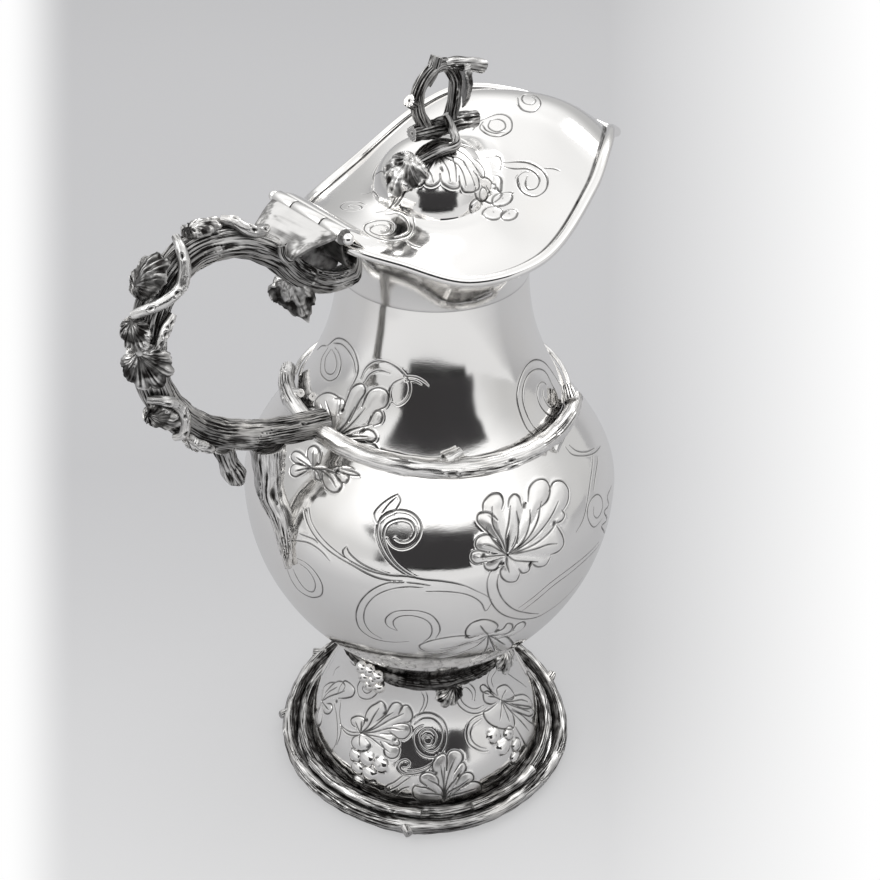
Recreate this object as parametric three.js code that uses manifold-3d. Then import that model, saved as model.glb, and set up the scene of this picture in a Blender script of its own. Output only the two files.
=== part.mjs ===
// Wine flagon in silver with twig, leaf and grape ornament and a hinged lid.
// Millimetres, +Z up. The spout points to +X, the handle to -X and the hinge pin lies along Y.
import * as THREE from 'three';
import { mergeVertices } from 'three/addons/utils/BufferGeometryUtils.js';
import Module from 'manifold-3d';

const wasm = await Module();
wasm.setup();

// Sheet and clearances
const SHEET = 1.2;            // wall of the raised vessel, foot and mouth
const SEAT = 0.35;            // clearance between pieces that are soldered or rest on each other
const RUN = 0.3;              // running clearance of the hinge knuckles along the pin
const FINEST = 0.05;          // joins and cuts leave nothing finer than this

// Foot
const FOOT_BASE_R = 50.5;     // foot shell just above its flange
const FLANGE_R = 60.5;        // flat flange that the edge twigs lie on
const FOOT_H = 57;            // underside of the stem collar
const STEM_R = 34;            // top of the foot shell
const INNER_TWIG_R = 2.75;
const OUTER_TWIG_R = 3.0;
const FOOT_BRANCH_R = 1.9;    // side branches that lie on the two foot twigs

// Stem collar
const COLLAR_H = 7;
const COLLAR_CORE_R = 30;
const COLLAR_TWIG_R = 3.1;

// Vessel
const VESSEL_BASE_R = 35;
const BELLY_R = 71;
const BELLY_UP = 77;          // widest level above the vessel's base
const NECK_R = 33.4;
const VESSEL_H = 166.6;       // vessel's base to the seam of the mouth
const SHOULDER_TWIG_UP = 117; // shoulder twig above the vessel's base
const SHOULDER_TWIG_R = 3.4;

// Mouth and lid
const MOUTH_HALF_WIDTH = 48.5;
const MOUTH_BACK = 47;        // axis to the back of the rim
const SPOUT_REACH = 86;       // axis to the tip of the spout
const RIM_SIDE_UP = 20.5;     // rim above the seam beside the axis
const RIM_BACK_UP = 26;       // rim above the seam at the hinge
const RIM_SHOULDER_UP = 42.5; // highest part of the rim, on both sides of the spout
const RIM_TIP_UP = 27.5;      // rim above the seam at the tip
const RIM_WIRE_R = 1.75;
const LID_THICK = 1.2;
const LID_ARCH = 8;           // crown of the lid above its edge beside the axis
const DOME_R = 21;
const DOME_TOP_UP = 46;       // top of the dome above the seam

// Hinge
const PIN_R = 1.1;
const PIN_BALL_R = 1.9;
const PIN_FIT = 0.12;         // radial clearance of the pin in its knuckles
const KNUCKLE_R = 2.6;
const BARREL_HALF = 17.5;     // half of the hinge's width
const MIDDLE_KNUCKLE_HALF = 7.4;
const PIN_BEHIND_RIM = 4;
const PIN_OVER_RIM = 7.3;
const HINGE_PLATE = 1.6;      // thickness of both hinge plates
const BRACKET_REACH = 15;     // hinge pin to the end of the bracket on the handle

// Handle
const HANDLE_REACH = 111.5;   // vessel's axis to the centreline of the grip
const HANDLE_RISE = 34.5;     // top of the handle's centreline above the seam
const HANDLE_R = 5.4;
const SPUR_R = 4.6;
const SPUR_OUT = 72.5;        // vessel's axis to the top of the spur
const STUB_R = 3.6;
const VINE_R = 1.9;           // vines laid on the handle, at their thickest

// Finial
const FINIAL_TWIG_R = 3.1;
const LOOP_R = 2;
const LOOP_H = 20.5;
const LOOP_HALF = 7.6;
const TENDRIL_R = 1.5;

const VESSEL_Z = FOOT_H + COLLAR_H;
const SEAM_Z = VESSEL_Z + VESSEL_H;
const SHOULDER_Z = VESSEL_Z + SHOULDER_TWIG_UP;
const HINGE_X = -MOUTH_BACK - PIN_BEHIND_RIM;
const HINGE_Z = SEAM_Z + RIM_BACK_UP + PIN_OVER_RIM;
const DOME_TOP_Z = SEAM_Z + DOME_TOP_UP;
const COLLAR_TWIG_Z = FOOT_H + COLLAR_H / 2;

const SILVER = { color: 0xd9dadb, roughness: 0.14, metalness: 1 };
const BARK = { color: 0x8f8c89, roughness: 0.42, metalness: 1 };
const LEAF = { color: 0xb9b6b2, roughness: 0.3, metalness: 1 };

const v3 = (x, y, z) => new THREE.Vector3(x, y, z);
const v2 = (x, y) => new THREE.Vector2(x, y);
const polar = (angle, radius, z) => v3(radius * Math.cos(angle), radius * Math.sin(angle), z);
const degrees = (value) => (value * Math.PI) / 180;
const group = new THREE.Group();

function add(name, geometry, look) {
  const plain = geometry.index ? geometry : mergeVertices(geometry);
  plain.computeVertexNormals();
  const mesh = new THREE.Mesh(plain, new THREE.MeshStandardMaterial(look));
  mesh.name = name;
  group.add(mesh);
  return mesh;
}

// Solids for joining and cutting
function toSolid(shape) {
  if (!shape.isBufferGeometry) return shape;
  const bare = shape.clone();
  bare.deleteAttribute('normal');
  bare.deleteAttribute('uv');
  const merged = mergeVertices(bare, 1e-4);
  return new wasm.Manifold(new wasm.Mesh({
    numProp: 3,
    vertProperties: new Float32Array(merged.attributes.position.array),
    triVerts: new Uint32Array(merged.index.array),
  }));
}

function toGeometry(solid) {
  const mesh = solid.simplify(FINEST).getMesh();
  const points = new Float32Array(mesh.numVert * 3);
  for (let i = 0; i < mesh.numVert; i += 1) {
    for (let k = 0; k < 3; k += 1) points[i * 3 + k] = mesh.vertProperties[i * mesh.numProp + k];
  }
  const geometry = new THREE.BufferGeometry();
  geometry.setAttribute('position', new THREE.BufferAttribute(points, 3));
  geometry.setIndex(new THREE.BufferAttribute(new Uint32Array(mesh.triVerts), 1));
  return geometry;
}

const join = (...shapes) => shapes.map(toSolid).reduce((sum, shape) => sum.add(shape));
const cut = (shape, ...tools) => tools.reduce((rest, tool) => rest.subtract(toSolid(tool)), toSolid(shape));

// A branch cut to fit its neighbours, without the offcut that lies beyond them
const trim = (shape, ...tools) => cut(shape, ...tools).decompose()
  .reduce((best, piece) => (piece.volume() > best.volume() ? piece : best));

// A closed skin over rows of points that each run round. Open ends are capped to a middle point, a
// ring of rows joins its last row to its first, and rows folded onto a line are sewn along it.
function skin(rows, ends = 'capped') {
  const sides = rows[0].length;
  const points = rows.flat();
  const index = [];
  const bands = ends === 'ring' ? rows.length : rows.length - 1;
  for (let i = 0; i < bands; i += 1) {
    const next = (i + 1) % rows.length;
    for (let k = 0; k < sides; k += 1) {
      const after = (k + 1) % sides;
      index.push(i * sides + k, i * sides + after, next * sides + k);
      index.push(i * sides + after, next * sides + after, next * sides + k);
    }
  }
  if (ends === 'capped') {
    const middle = (row) => row.reduce((sum, p) => sum.add(p), v3(0, 0, 0)).divideScalar(row.length);
    const last = (rows.length - 1) * sides;
    points.push(middle(rows[0]), middle(rows[rows.length - 1]));
    for (let k = 0; k < sides; k += 1) {
      const after = (k + 1) % sides;
      index.push(points.length - 2, after, k);
      index.push(points.length - 1, last + k, last + after);
    }
  }
  const loose = new THREE.BufferGeometry().setFromPoints(points);
  loose.setIndex(index);
  return outward(mergeVertices(loose, 1e-3));
}

// Drops triangles that merging has closed up, and turns the faces outward
function outward(geometry) {
  const at = geometry.attributes.position;
  const corner = (k) => new THREE.Vector3().fromBufferAttribute(at, k);
  const faces = [];
  let volume = 0;
  for (let i = 0; i < geometry.index.count; i += 3) {
    const face = [0, 1, 2].map((k) => geometry.index.getX(i + k));
    if (new Set(face).size < 3) continue;
    faces.push(face);
    const [a, b, c] = face.map(corner);
    volume += a.dot(b.cross(c));
  }
  geometry.setIndex(faces.flatMap(([a, b, c]) => (volume < 0 ? [a, c, b] : [a, b, c])));
  return geometry;
}

// A branch: a tapering, slightly lobed tube along a curve, with cut or rounded ends
function branch(points, { radius, steps, sides = 8, closed = false, lobes = 0.06, flat = 1, grow = 0 }) {
  const curve = new THREE.CatmullRomCurve3(points, closed, 'centripetal');
  const frames = curve.computeFrenetFrames(steps, closed);
  const rows = [];
  for (let i = 0; i < (closed ? steps : steps + 1); i += 1) {
    const t = i / steps;
    const centre = curve.getPointAt(t);
    const width = (typeof radius === 'function' ? radius(t) : radius) + grow;
    rows.push(Array.from({ length: sides }, (_, k) => {
      const a = (2 * Math.PI * k) / sides;
      const r = width * (1 + lobes * Math.sin(3 * a + 18 * Math.PI * t));
      return centre.clone()
        .addScaledVector(frames.normals[i], r * Math.cos(a))
        .addScaledVector(frames.binormals[i], r * flat * Math.sin(a));
    }));
  }
  return skin(rows, closed ? 'ring' : 'capped');
}

// Radius along a branch from a few widths spread evenly over its length
function widths(...sizes) {
  return (t) => {
    const place = t * (sizes.length - 1);
    const i = Math.min(Math.floor(place), sizes.length - 2);
    return THREE.MathUtils.lerp(sizes[i], sizes[i + 1], place - i);
  };
}

function revolve(profile, segments) {
  const geometry = new THREE.LatheGeometry(profile, segments);
  geometry.rotateX(Math.PI / 2);
  return geometry;
}

const curvePoints = (curve, count) => Array.from({ length: count + 1 }, (_, i) => curve.getPoint(i / count));

// Outline of the vessel, from its base to the seam, as radius and height
const belly = VESSEL_Z + BELLY_UP;
const vesselLine = [
  ...curvePoints(new THREE.CubicBezierCurve(
    v2(VESSEL_BASE_R, VESSEL_Z), v2(VESSEL_BASE_R + 9, VESSEL_Z + 14),
    v2(BELLY_R, belly - 42), v2(BELLY_R, belly)), 6),
  ...curvePoints(new THREE.CubicBezierCurve(
    v2(BELLY_R, belly), v2(BELLY_R + 1, belly + 27),
    v2(NECK_R + 2.6, belly + 37), v2(NECK_R, SEAM_Z)), 8).slice(1),
];
const footLine = curvePoints(new THREE.CubicBezierCurve(
  v2(FOOT_BASE_R, 6), v2(FOOT_BASE_R, 24), v2(STEM_R + 1, 34), v2(STEM_R, FOOT_H)), 6);

// Radius and outward lean of an outline at a height
function outlineAt(line, z) {
  let i = line.findIndex((p, k) => k > 0 && p.y >= z);
  if (i < 0) i = line.length - 1;
  const [low, high] = [line[i - 1], line[i]];
  const t = THREE.MathUtils.clamp((z - low.y) / (high.y - low.y), 0, 1);
  const along = high.clone().sub(low).normalize();
  return { r: THREE.MathUtils.lerp(low.x, high.x, t), out: v2(along.y, -along.x) };
}

// A point lifted square off the vessel at an angle and height
function onVessel(angle, z, lift) {
  const { r, out } = outlineAt(vesselLine, z);
  return polar(angle, r + out.x * lift, z + out.y * lift);
}

// Vessel and foot shells: the outline and the same outline one sheet further in
function inner(line, thickness) {
  return line.map((p, i) => {
    const a = line[Math.max(i - 1, 0)];
    const b = line[Math.min(i + 1, line.length - 1)];
    const along = b.clone().sub(a).normalize();
    return v2(p.x - along.y * thickness, p.y + along.x * thickness);
  });
}

const VESSEL_SIDES = 32;
const vesselInside = inner(vesselLine, SHEET).slice(1, -1).filter((_, i) => i % 3 !== 2);
const vesselProfile = [
  v2(0, VESSEL_Z), ...vesselLine, v2(NECK_R - SHEET, SEAM_Z),
  ...vesselInside.reverse(), v2(0, VESSEL_Z + SHEET),
];
add('body_shell', revolve(vesselProfile, VESSEL_SIDES), SILVER);

const footInside = inner(footLine, SHEET).slice(1, -1).filter((_, i) => i % 2 === 0);
const footProfile = [
  v2(0, FOOT_H - SHEET), v2(STEM_R - 2 * SHEET, FOOT_H - SHEET),
  ...footInside.reverse(), v2(FOOT_BASE_R - SHEET, 6),
  v2(FOOT_BASE_R - SHEET, 0), v2(FLANGE_R, 0), v2(FLANGE_R, SHEET), v2(FOOT_BASE_R, SHEET),
  ...footLine, v2(0, FOOT_H),
];
add('foot_shell', revolve(footProfile, VESSEL_SIDES), SILVER);

const collarBore = COLLAR_CORE_R - 2 * SHEET;
const collarProfile = [
  v2(collarBore, FOOT_H), v2(COLLAR_CORE_R, FOOT_H), v2(COLLAR_CORE_R, VESSEL_Z),
  v2(collarBore, VESSEL_Z), v2(collarBore, FOOT_H),
];
add('stem_collar', revolve(collarProfile, 24), SILVER);

// Twigs round the foot, the collar and the shoulder
function ringPoints(count, place) {
  return Array.from({ length: count }, (_, i) => place((2 * Math.PI * i) / count));
}

const innerTwigCentre = FOOT_BASE_R + INNER_TWIG_R * 1.06 + SEAT;
const outerTwigCentre = innerTwigCentre + INNER_TWIG_R + OUTER_TWIG_R + SEAT;
const OUTER_TWIG_SHIFT = 0.4;
const footTwigZ = (radius) => SHEET + SEAT + radius * 1.06;
const innerTwigRing = ringPoints(12, (a) => polar(a, innerTwigCentre, footTwigZ(INNER_TWIG_R)));
const outerTwigAt = (a) => outerTwigCentre + OUTER_TWIG_SHIFT * (1 + Math.sin(5 * a));
const outerTwigRing = ringPoints(20, (a) => polar(a, outerTwigAt(a), footTwigZ(OUTER_TWIG_R)));
const footKnots = [
  { at: 141, from: outerTwigCentre, reach: 4.4, size: 2.2 },
  { at: 104, from: outerTwigCentre, reach: 5.0, size: 2.4 },
  { at: -17, from: outerTwigCentre, reach: 4.4, size: 2.3 },
  { at: -136, from: outerTwigCentre, reach: 5.6, size: 2.2 },
];
const outerTwig = join(
  branch(outerTwigRing, { radius: OUTER_TWIG_R, steps: 42, sides: 6, closed: true }),
  ...footKnots.map(({ at, from, reach, size }) => branch(
    [
      polar(degrees(at - 3), from, OUTER_TWIG_R * 1.7),
      polar(degrees(at), from + reach, OUTER_TWIG_R * 1.9),
    ], { radius: widths(size, size * 0.8), steps: 2, sides: 6 })),
);
add('foot_outer_twig', toGeometry(outerTwig), BARK);
const innerTwig = branch(innerTwigRing, { radius: INNER_TWIG_R, steps: 38, sides: 6, closed: true });
add('foot_inner_twig', innerTwig, BARK);

// Side branches that nest in the valley between the two foot twigs
function footBranch(name, start, end) {
  const slope = OUTER_TWIG_R + FOOT_BRANCH_R + SEAT;
  const points = [0, 0.25, 0.5, 0.75, 1].map((t) => {
    const angle = degrees(THREE.MathUtils.lerp(start, end, t));
    const half = (outerTwigAt(angle) - innerTwigCentre) / 2;
    return polar(angle, innerTwigCentre + half, footTwigZ(OUTER_TWIG_R) + Math.sqrt(slope ** 2 - half ** 2));
  });
  const taper = widths(FOOT_BRANCH_R, FOOT_BRANCH_R * 0.8);
  add(name, branch(points, { radius: taper, steps: 12, sides: 6 }), BARK);
}
footBranch('foot_branch_left', 172, 228);
footBranch('foot_branch_right', 283, 250);

const collarTwigCentre = COLLAR_CORE_R + COLLAR_TWIG_R * 1.06 + SEAT + 0.3;
const collarRing = (grow) => branch(
  ringPoints(12, (a) => polar(a, collarTwigCentre, COLLAR_TWIG_Z)),
  { radius: COLLAR_TWIG_R, steps: 28, sides: 6, closed: true, lobes: 0.04, grow });
add('collar_twig', collarRing(0), BARK);

const shoulderLift = SHOULDER_TWIG_R * 1.06 + SEAT + 0.15;
const shoulderPath = ringPoints(16, (a) => onVessel(
  a, SHOULDER_Z + 1.3 * Math.cos(2 * a + 0.4), shoulderLift));
const shoulderRing = (grow) => branch(
  shoulderPath, { radius: SHOULDER_TWIG_R, steps: 42, sides: 6, closed: true, grow });
const shoulderStubs = [
  { at: 160, up: 2.65, size: 0.71, reach: 2.2 },
  { at: -55, up: 1.25, size: 0.68, reach: 1.25 },
  { at: -122, up: 0.95, size: 0.6, reach: 0.95 },
  { at: -78, up: -1.3, size: 0.62, reach: 1.3 },
].map(({ at, ...shares }) => ({
  at, ...Object.fromEntries(Object.entries(shares).map(([key, share]) => [key, share * SHOULDER_TWIG_R])),
}));
const shoulderTwig = join(shoulderRing(0), ...shoulderStubs.map(({ at, up, size, reach }) => {
  const side = Math.sign(up);
  const from = onVessel(degrees(at - side * 3), SHOULDER_Z + side * 1.5, shoulderLift);
  const to = onVessel(degrees(at + side * 3), SHOULDER_Z + up * 1.1, size * 1.06 + SEAT + 0.5);
  const end = to.clone().add(to.clone().sub(from).setLength(Math.max(reach - Math.abs(up), 0.1)));
  return branch([from, to, end], { radius: widths(size * 1.2, size, size * 0.9), steps: 3, sides: 6 });
}));

add('shoulder_twig', toGeometry(shoulderTwig), BARK);

// Rim of the mouth: half of its plan from the back to the tip, with its height above the seam
const RIM_STATIONS = [
  { x: -MOUTH_BACK, y: 0, up: RIM_BACK_UP },
  { x: -0.955 * MOUTH_BACK, y: 0.27, up: RIM_BACK_UP - 0.6 },
  { x: -0.765 * MOUTH_BACK, y: 0.52, up: RIM_SIDE_UP + 2 },
  { x: -0.425 * MOUTH_BACK, y: 0.84, up: RIM_SIDE_UP - 3.2 },
  { x: 0.047 * SPOUT_REACH, y: 1, up: RIM_SIDE_UP + 0.5 },
  { x: 0.337 * SPOUT_REACH, y: 0.905, up: RIM_SHOULDER_UP - 6.8 },
  { x: 0.5 * SPOUT_REACH, y: 0.74, up: RIM_SHOULDER_UP },
  { x: 0.675 * SPOUT_REACH, y: 0.5, up: RIM_SHOULDER_UP - 1.2 },
  { x: 0.837 * SPOUT_REACH, y: 0.25, up: RIM_SHOULDER_UP - 7.2 },
  { x: 0.958 * SPOUT_REACH, y: 0.118, up: RIM_TIP_UP + 2 },
  { x: SPOUT_REACH, y: 0, up: RIM_TIP_UP },
];
const rimPoint = ({ x, y, up }, side) => v3(x, side * y * MOUTH_HALF_WIDTH, SEAM_Z + up);
const rimLoop = new THREE.CatmullRomCurve3([
  ...RIM_STATIONS.map((s) => rimPoint(s, -1)),
  ...RIM_STATIONS.slice(1, -1).reverse().map((s) => rimPoint(s, 1)),
], true, 'centripetal');
const RIM_STEPS = 50;
const rim = Array.from({ length: RIM_STEPS }, (_, i) => {
  const t = i / RIM_STEPS;
  const tangent = rimLoop.getTangent(t);
  return { at: rimLoop.getPoint(t), out: v3(tangent.y, -tangent.x, 0).normalize() };
});
const insideRim = (station, inset, drop) => station.at.clone()
  .addScaledVector(station.out, -inset).add(v3(0, 0, -drop));

const wire = branch(rim.map((s) => s.at), {
  radius: RIM_WIRE_R, steps: 50, sides: 6, closed: true, lobes: 0,
});
add('rim_wire', wire, SILVER);

// Mouth bowl: a flare from the round neck to the rim, with its wall open at both ends
const wireClear = RIM_WIRE_R + SEAT;
const wallDrop = LID_THICK / 2 + 0.7;
const wallInset = Math.sqrt(wireClear ** 2 - wallDrop ** 2) + 0.15;
function flare(station, neckR, inset, rise) {
  const rimAt = insideRim(station, inset, wallDrop);
  const angle = Math.atan2(rimAt.y, rimAt.x - 5);
  const neck = polar(angle, neckR, SEAM_Z);
  const bend = neck.clone().lerp(rimAt, 0.25);
  bend.z = THREE.MathUtils.lerp(SEAM_Z, rimAt.z, 0.58) + rise;
  return new THREE.QuadraticBezierCurve3(neck, bend, rimAt);
}
function mouthRows(grow) {
  const outside = rim.map((s) => flare(s, NECK_R + grow, wallInset - grow, -grow));
  const inside = rim.map((s) => flare(s, NECK_R - SHEET, wallInset + SHEET, 1.6));
  const heights = [0, 0.4, 1];
  const up = heights.map((t) => outside.map((curve) => curve.getPoint(t)));
  const down = heights.map((t) => inside.map((curve) => curve.getPoint(t))).reverse();
  return { up, down };
}
const mouth = mouthRows(0);
add('mouth_bowl', skin([...mouth.up, ...mouth.down], 'ring'), SILVER);

// The solid space that the vessel and mouth fill, a little enlarged, to saddle the branches on them
const saddleVessel = revolve(
  [v2(0, VESSEL_Z - SEAT), ...inner(vesselLine, -SEAT), v2(0, SEAM_Z)], VESSEL_SIDES);
const saddleMouth = skin(mouthRows(SEAT).up);

// Lid: a hood inside the rim wire, with a hollow dome raised in its middle
const RIDGE = [
  { x: -0.935 * MOUTH_BACK, up: RIM_BACK_UP + 1.2 },
  { x: -0.53 * MOUTH_BACK, up: RIM_SIDE_UP + LID_ARCH - 2.5 },
  { x: 0, up: RIM_SIDE_UP + LID_ARCH },
  { x: 0.23 * SPOUT_REACH, up: RIM_SHOULDER_UP - 5 },
  { x: 0.465 * SPOUT_REACH, up: RIM_SHOULDER_UP + 5.2 },
  { x: 0.63 * SPOUT_REACH, up: RIM_SHOULDER_UP + 4.6 },
  { x: 0.79 * SPOUT_REACH, up: RIM_SHOULDER_UP - 2.6 },
  { x: 0.965 * SPOUT_REACH, up: RIM_TIP_UP + 1.4 },
];
const ridgeCurve = new THREE.SplineCurve(RIDGE.map(({ x, up }) => v2(x, SEAM_Z + up)));
const ridgeLine = curvePoints(ridgeCurve, 40);
function ridgeAt(x) {
  const i = THREE.MathUtils.clamp(ridgeLine.findIndex((p) => p.x >= x), 1, ridgeLine.length - 1);
  const [a, b] = [ridgeLine[i - 1], ridgeLine[i]];
  return THREE.MathUtils.lerp(a.y, b.y, THREE.MathUtils.clamp((x - a.x) / (b.x - a.x), 0, 1));
}
const SPINE_BACK = -0.7 * MOUTH_BACK;
const SPINE_FRONT = 0.86 * SPOUT_REACH;
const lidInset = RIM_WIRE_R + SEAT;
function lidRow(share, drop) {
  return rim.map((station) => {
    const edge = insideRim(station, lidInset, -0.25 + drop);
    const spineX = THREE.MathUtils.clamp(edge.x * 0.98, SPINE_BACK, SPINE_FRONT);
    const spine = v3(spineX, 0, ridgeAt(spineX) - drop);
    const z = spine.z + (edge.z - spine.z) * share ** 2;
    return v3(THREE.MathUtils.lerp(spine.x, edge.x, share), edge.y * share, z);
  });
}
const lidShares = [0, 0.5, 1];
const lidSheet = (low, high, shares) => skin([
  ...shares.map((share) => lidRow(share, low)),
  ...shares.map((share) => lidRow(share, high)).reverse(),
], 'sewn');
const domeFootZ = SEAM_Z + 0.7 * RIM_SIDE_UP;
const domeCurve = (size, top) => new THREE.CubicBezierCurve(
  v2(size, top - DOME_R), v2(size, top - 0.38 * DOME_R), v2(size - 0.38 * DOME_R, top), v2(0, top));
const domeLine = (size, top) => [
  v2(0, domeFootZ), v2(size, domeFootZ), ...curvePoints(domeCurve(size, top), 5),
];
const DOME_SIDES = 24;
const domeClear = revolve(domeLine(DOME_R + SEAT, DOME_TOP_Z + SEAT), DOME_SIDES);

// A point over the dome: angle, share of the way up to its top, and lift off it
function onDome(angle, share, lift) {
  const at = domeCurve(DOME_R, DOME_TOP_Z).getPoint(share);
  const along = domeCurve(DOME_R, DOME_TOP_Z).getTangent(share);
  return polar(degrees(angle), at.x + along.y * lift, at.y - along.x * lift);
}
const lid = cut(
  join(lidSheet(LID_THICK, 0, lidShares), revolve(domeLine(DOME_R, DOME_TOP_Z), DOME_SIDES)),
  lidSheet(LID_THICK + 30, LID_THICK - 0.03, [...lidShares, 1.12]),
  revolve(domeLine(DOME_R - SHEET, DOME_TOP_Z - SHEET), DOME_SIDES));
add('lid_hood', toGeometry(lid), SILVER);

// Handle: one branch from the neck, round the grip and back to the shoulder
const HANDLE_STATIONS = [
  { out: 0, up: 8.6, size: 0.67 },
  { out: 0.14, up: 9.0, size: 0.82 },
  { out: 0.285, up: 15.5, size: 0.89 },
  { out: 0.41, up: 26, size: 0.96 },
  { out: 0.585, up: HANDLE_RISE - 0.5, size: 1 },
  { out: 0.785, up: HANDLE_RISE, size: 1.02 },
  { out: 0.935, up: HANDLE_RISE - 10, size: 1.02 },
  { out: 1, up: HANDLE_RISE - 25.5, size: 1 },
  { out: 0.98, down: 42, size: 0.98 },
  { out: 0.84, down: 25, size: 0.96 },
  { out: 0.61, down: 13.5, size: 0.96 },
  { out: 0.37, down: 7.5, size: 0.93 },
  { out: 0.19, down: 4.5, size: 0.93 },
];
const handleCurve = new THREE.CatmullRomCurve3(HANDLE_STATIONS.map(({ out, up, down }) => v3(
  -THREE.MathUtils.lerp(NECK_R + 1, HANDLE_REACH, out), 0,
  up === undefined ? SHOULDER_Z + down : SEAM_Z + up)), false, 'centripetal');
const handleSize = widths(...HANDLE_STATIONS.map((s) => s.size * HANDLE_R));
const handleBar = (grow) => branch(
  handleCurve.points, { radius: handleSize, steps: 34, sides: 9, flat: 0.94, grow });
const handle = trim(handleBar(0), saddleMouth, saddleVessel, shoulderRing(SEAT));
add('handle_branch', toGeometry(handle), BARK);

// A point on the handle: share along it, angle round it (0 outside, 90 near side) and lift off it
function onHandle(share, angle, lift) {
  const centre = handleCurve.getPointAt(share);
  const along = handleCurve.getTangentAt(share);
  const outside = v3(along.z, 0, -along.x);
  const a = degrees(angle);
  return centre.addScaledVector(outside, Math.cos(a) * (handleSize(share) + lift))
    .add(v3(0, -Math.sin(a) * (handleSize(share) + lift), 0));
}

// Spur: the side branch that runs down the belly, and the cut stub beside it
const lowArm = (out, up) => v3(-out, 0, SHOULDER_Z + up);
const spur = branch([
  lowArm(SPUR_OUT, 9), lowArm(SPUR_OUT, -3), lowArm(SPUR_OUT, -14),
  onVessel(degrees(182.5), belly + 14, 3.2), onVessel(degrees(186), belly - 4, 1.6),
], { radius: widths(SPUR_R * 1.5, SPUR_R * 1.15, SPUR_R, SPUR_R * 0.7, 1.2), steps: 16, sides: 8 });
add('handle_spur', toGeometry(trim(spur, handleBar(SEAT), saddleVessel, shoulderRing(SEAT))), BARK);
const stub = branch([lowArm(SPUR_OUT + 18, 15), lowArm(SPUR_OUT + 15.5, 5.5), lowArm(SPUR_OUT + 11.7, -4.5)],
  { radius: widths(STUB_R, STUB_R * 0.92, STUB_R * 0.88), steps: 6, sides: 8 });
add('handle_stub', toGeometry(trim(stub, handleBar(SEAT))), BARK);

// Hinge: knuckles round the pin, each with the plate that carries it
function cylinderY(radius, from, to) {
  const geometry = new THREE.CylinderGeometry(radius, radius, to - from, 16);
  geometry.translate(HINGE_X, (from + to) / 2, HINGE_Z);
  return geometry;
}
const bore = cylinderY(PIN_R + PIN_FIT, -BARREL_HALF - 2, BARREL_HALF + 2);
const knuckle = (from, to, grow = 0) => cylinderY(KNUCKLE_R + grow, from, to);
const middleEnd = MIDDLE_KNUCKLE_HALF + RUN;

// A plate across the hinge, bent along a line of points in side view
function plate(line, halfWidths, thickness) {
  return skin(line.map((p, i) => {
    const a = line[Math.max(i - 1, 0)];
    const b = line[Math.min(i + 1, line.length - 1)];
    const along = b.clone().sub(a).normalize();
    const up = v2(-along.y, along.x).multiplyScalar(thickness / 2);
    const w = halfWidths[i];
    return [
      v3(p.x - up.x, -w, p.y - up.y), v3(p.x - up.x, w, p.y - up.y),
      v3(p.x + up.x, w, p.y + up.y), v3(p.x + up.x, -w, p.y + up.y),
    ];
  }));
}
const leafEnd = HINGE_X + 12;
const lidLeaf = plate([
  v2(HINGE_X + 1, HINGE_Z + 1), v2(HINGE_X + 4.4, HINGE_Z + 0.2),
  v2(leafEnd, ridgeAt(leafEnd) + SEAT + HINGE_PLATE / 2 + 0.3),
], [MIDDLE_KNUCKLE_HALF, BARREL_HALF - 1, BARREL_HALF - 3], HINGE_PLATE);
add('lid_hinge_leaf', toGeometry(cut(
  join(lidLeaf, knuckle(-MIDDLE_KNUCKLE_HALF, MIDDLE_KNUCKLE_HALF)),
  knuckle(-BARREL_HALF - 3, -middleEnd, RUN), knuckle(middleEnd, BARREL_HALF + 3, RUN), bore)), SILVER);

const bodyLeaf = plate([
  v2(HINGE_X - 1, HINGE_Z + 0.6), v2(HINGE_X - BRACKET_REACH / 3, HINGE_Z - 0.04 * BRACKET_REACH),
  v2(HINGE_X - (2 * BRACKET_REACH) / 3, HINGE_Z - 0.173 * BRACKET_REACH),
  v2(HINGE_X - BRACKET_REACH, HINGE_Z - 0.36 * BRACKET_REACH),
], [1, 0.8, 0.6, 0.5].map((share) => share * BARREL_HALF), HINGE_PLATE);
add('hinge_bracket', toGeometry(cut(
  join(bodyLeaf, knuckle(-BARREL_HALF, -middleEnd), knuckle(middleEnd, BARREL_HALF)),
  knuckle(-middleEnd, middleEnd, RUN), bore, handleBar(SEAT))), SILVER);

const pinBall = (side) => {
  const ball = new THREE.SphereGeometry(PIN_BALL_R, 10, 7);
  ball.translate(HINGE_X, side * (BARREL_HALF + RUN + PIN_BALL_R * 0.8), HINGE_Z);
  return ball;
};
const pinHalf = BARREL_HALF + RUN + PIN_BALL_R * 0.5;
add('hinge_pin', toGeometry(join(cylinderY(PIN_R, -pinHalf, pinHalf), pinBall(-1), pinBall(1))), SILVER);

// A cast leaf: lobed round its stem, cupped, and bent to the curve of what carries it
function leaf({ at, face, tip, size, wide = 1, cup = 0.16, lobes = 5, thick = 1.3, grow = 0 }) {
  const up = face.clone().normalize();
  const along = tip.clone().addScaledVector(up, -tip.dot(up)).normalize();
  const across = up.clone().cross(along);
  const count = 4 * lobes;
  const row = (share, lift) => Array.from({ length: count }, (_, k) => {
    const a = (2 * Math.PI * k) / count;
    const notch = ((1 - Math.cos(lobes * a)) / 2) ** 2;
    const r = size * share * (0.93 + 0.07 * Math.cos(a)) * (1 - 0.36 * notch) + grow;
    const bend = cup * size * share ** 2;
    return at.clone().addScaledVector(along, r * Math.cos(a))
      .addScaledVector(across, r * wide * Math.sin(a))
      .addScaledVector(up, lift - bend - 0.14 * size * share * notch);
  });
  return skin([row(1, -grow), row(0.93, thick * 0.7 + grow), row(0.4, thick + grow)]);
}

function grapes(centres, size) {
  return centres.map((centre) => {
    const ball = new THREE.SphereGeometry(size, 6, 4);
    ball.translate(centre.x, centre.y, centre.z);
    return ball;
  });
}

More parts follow.
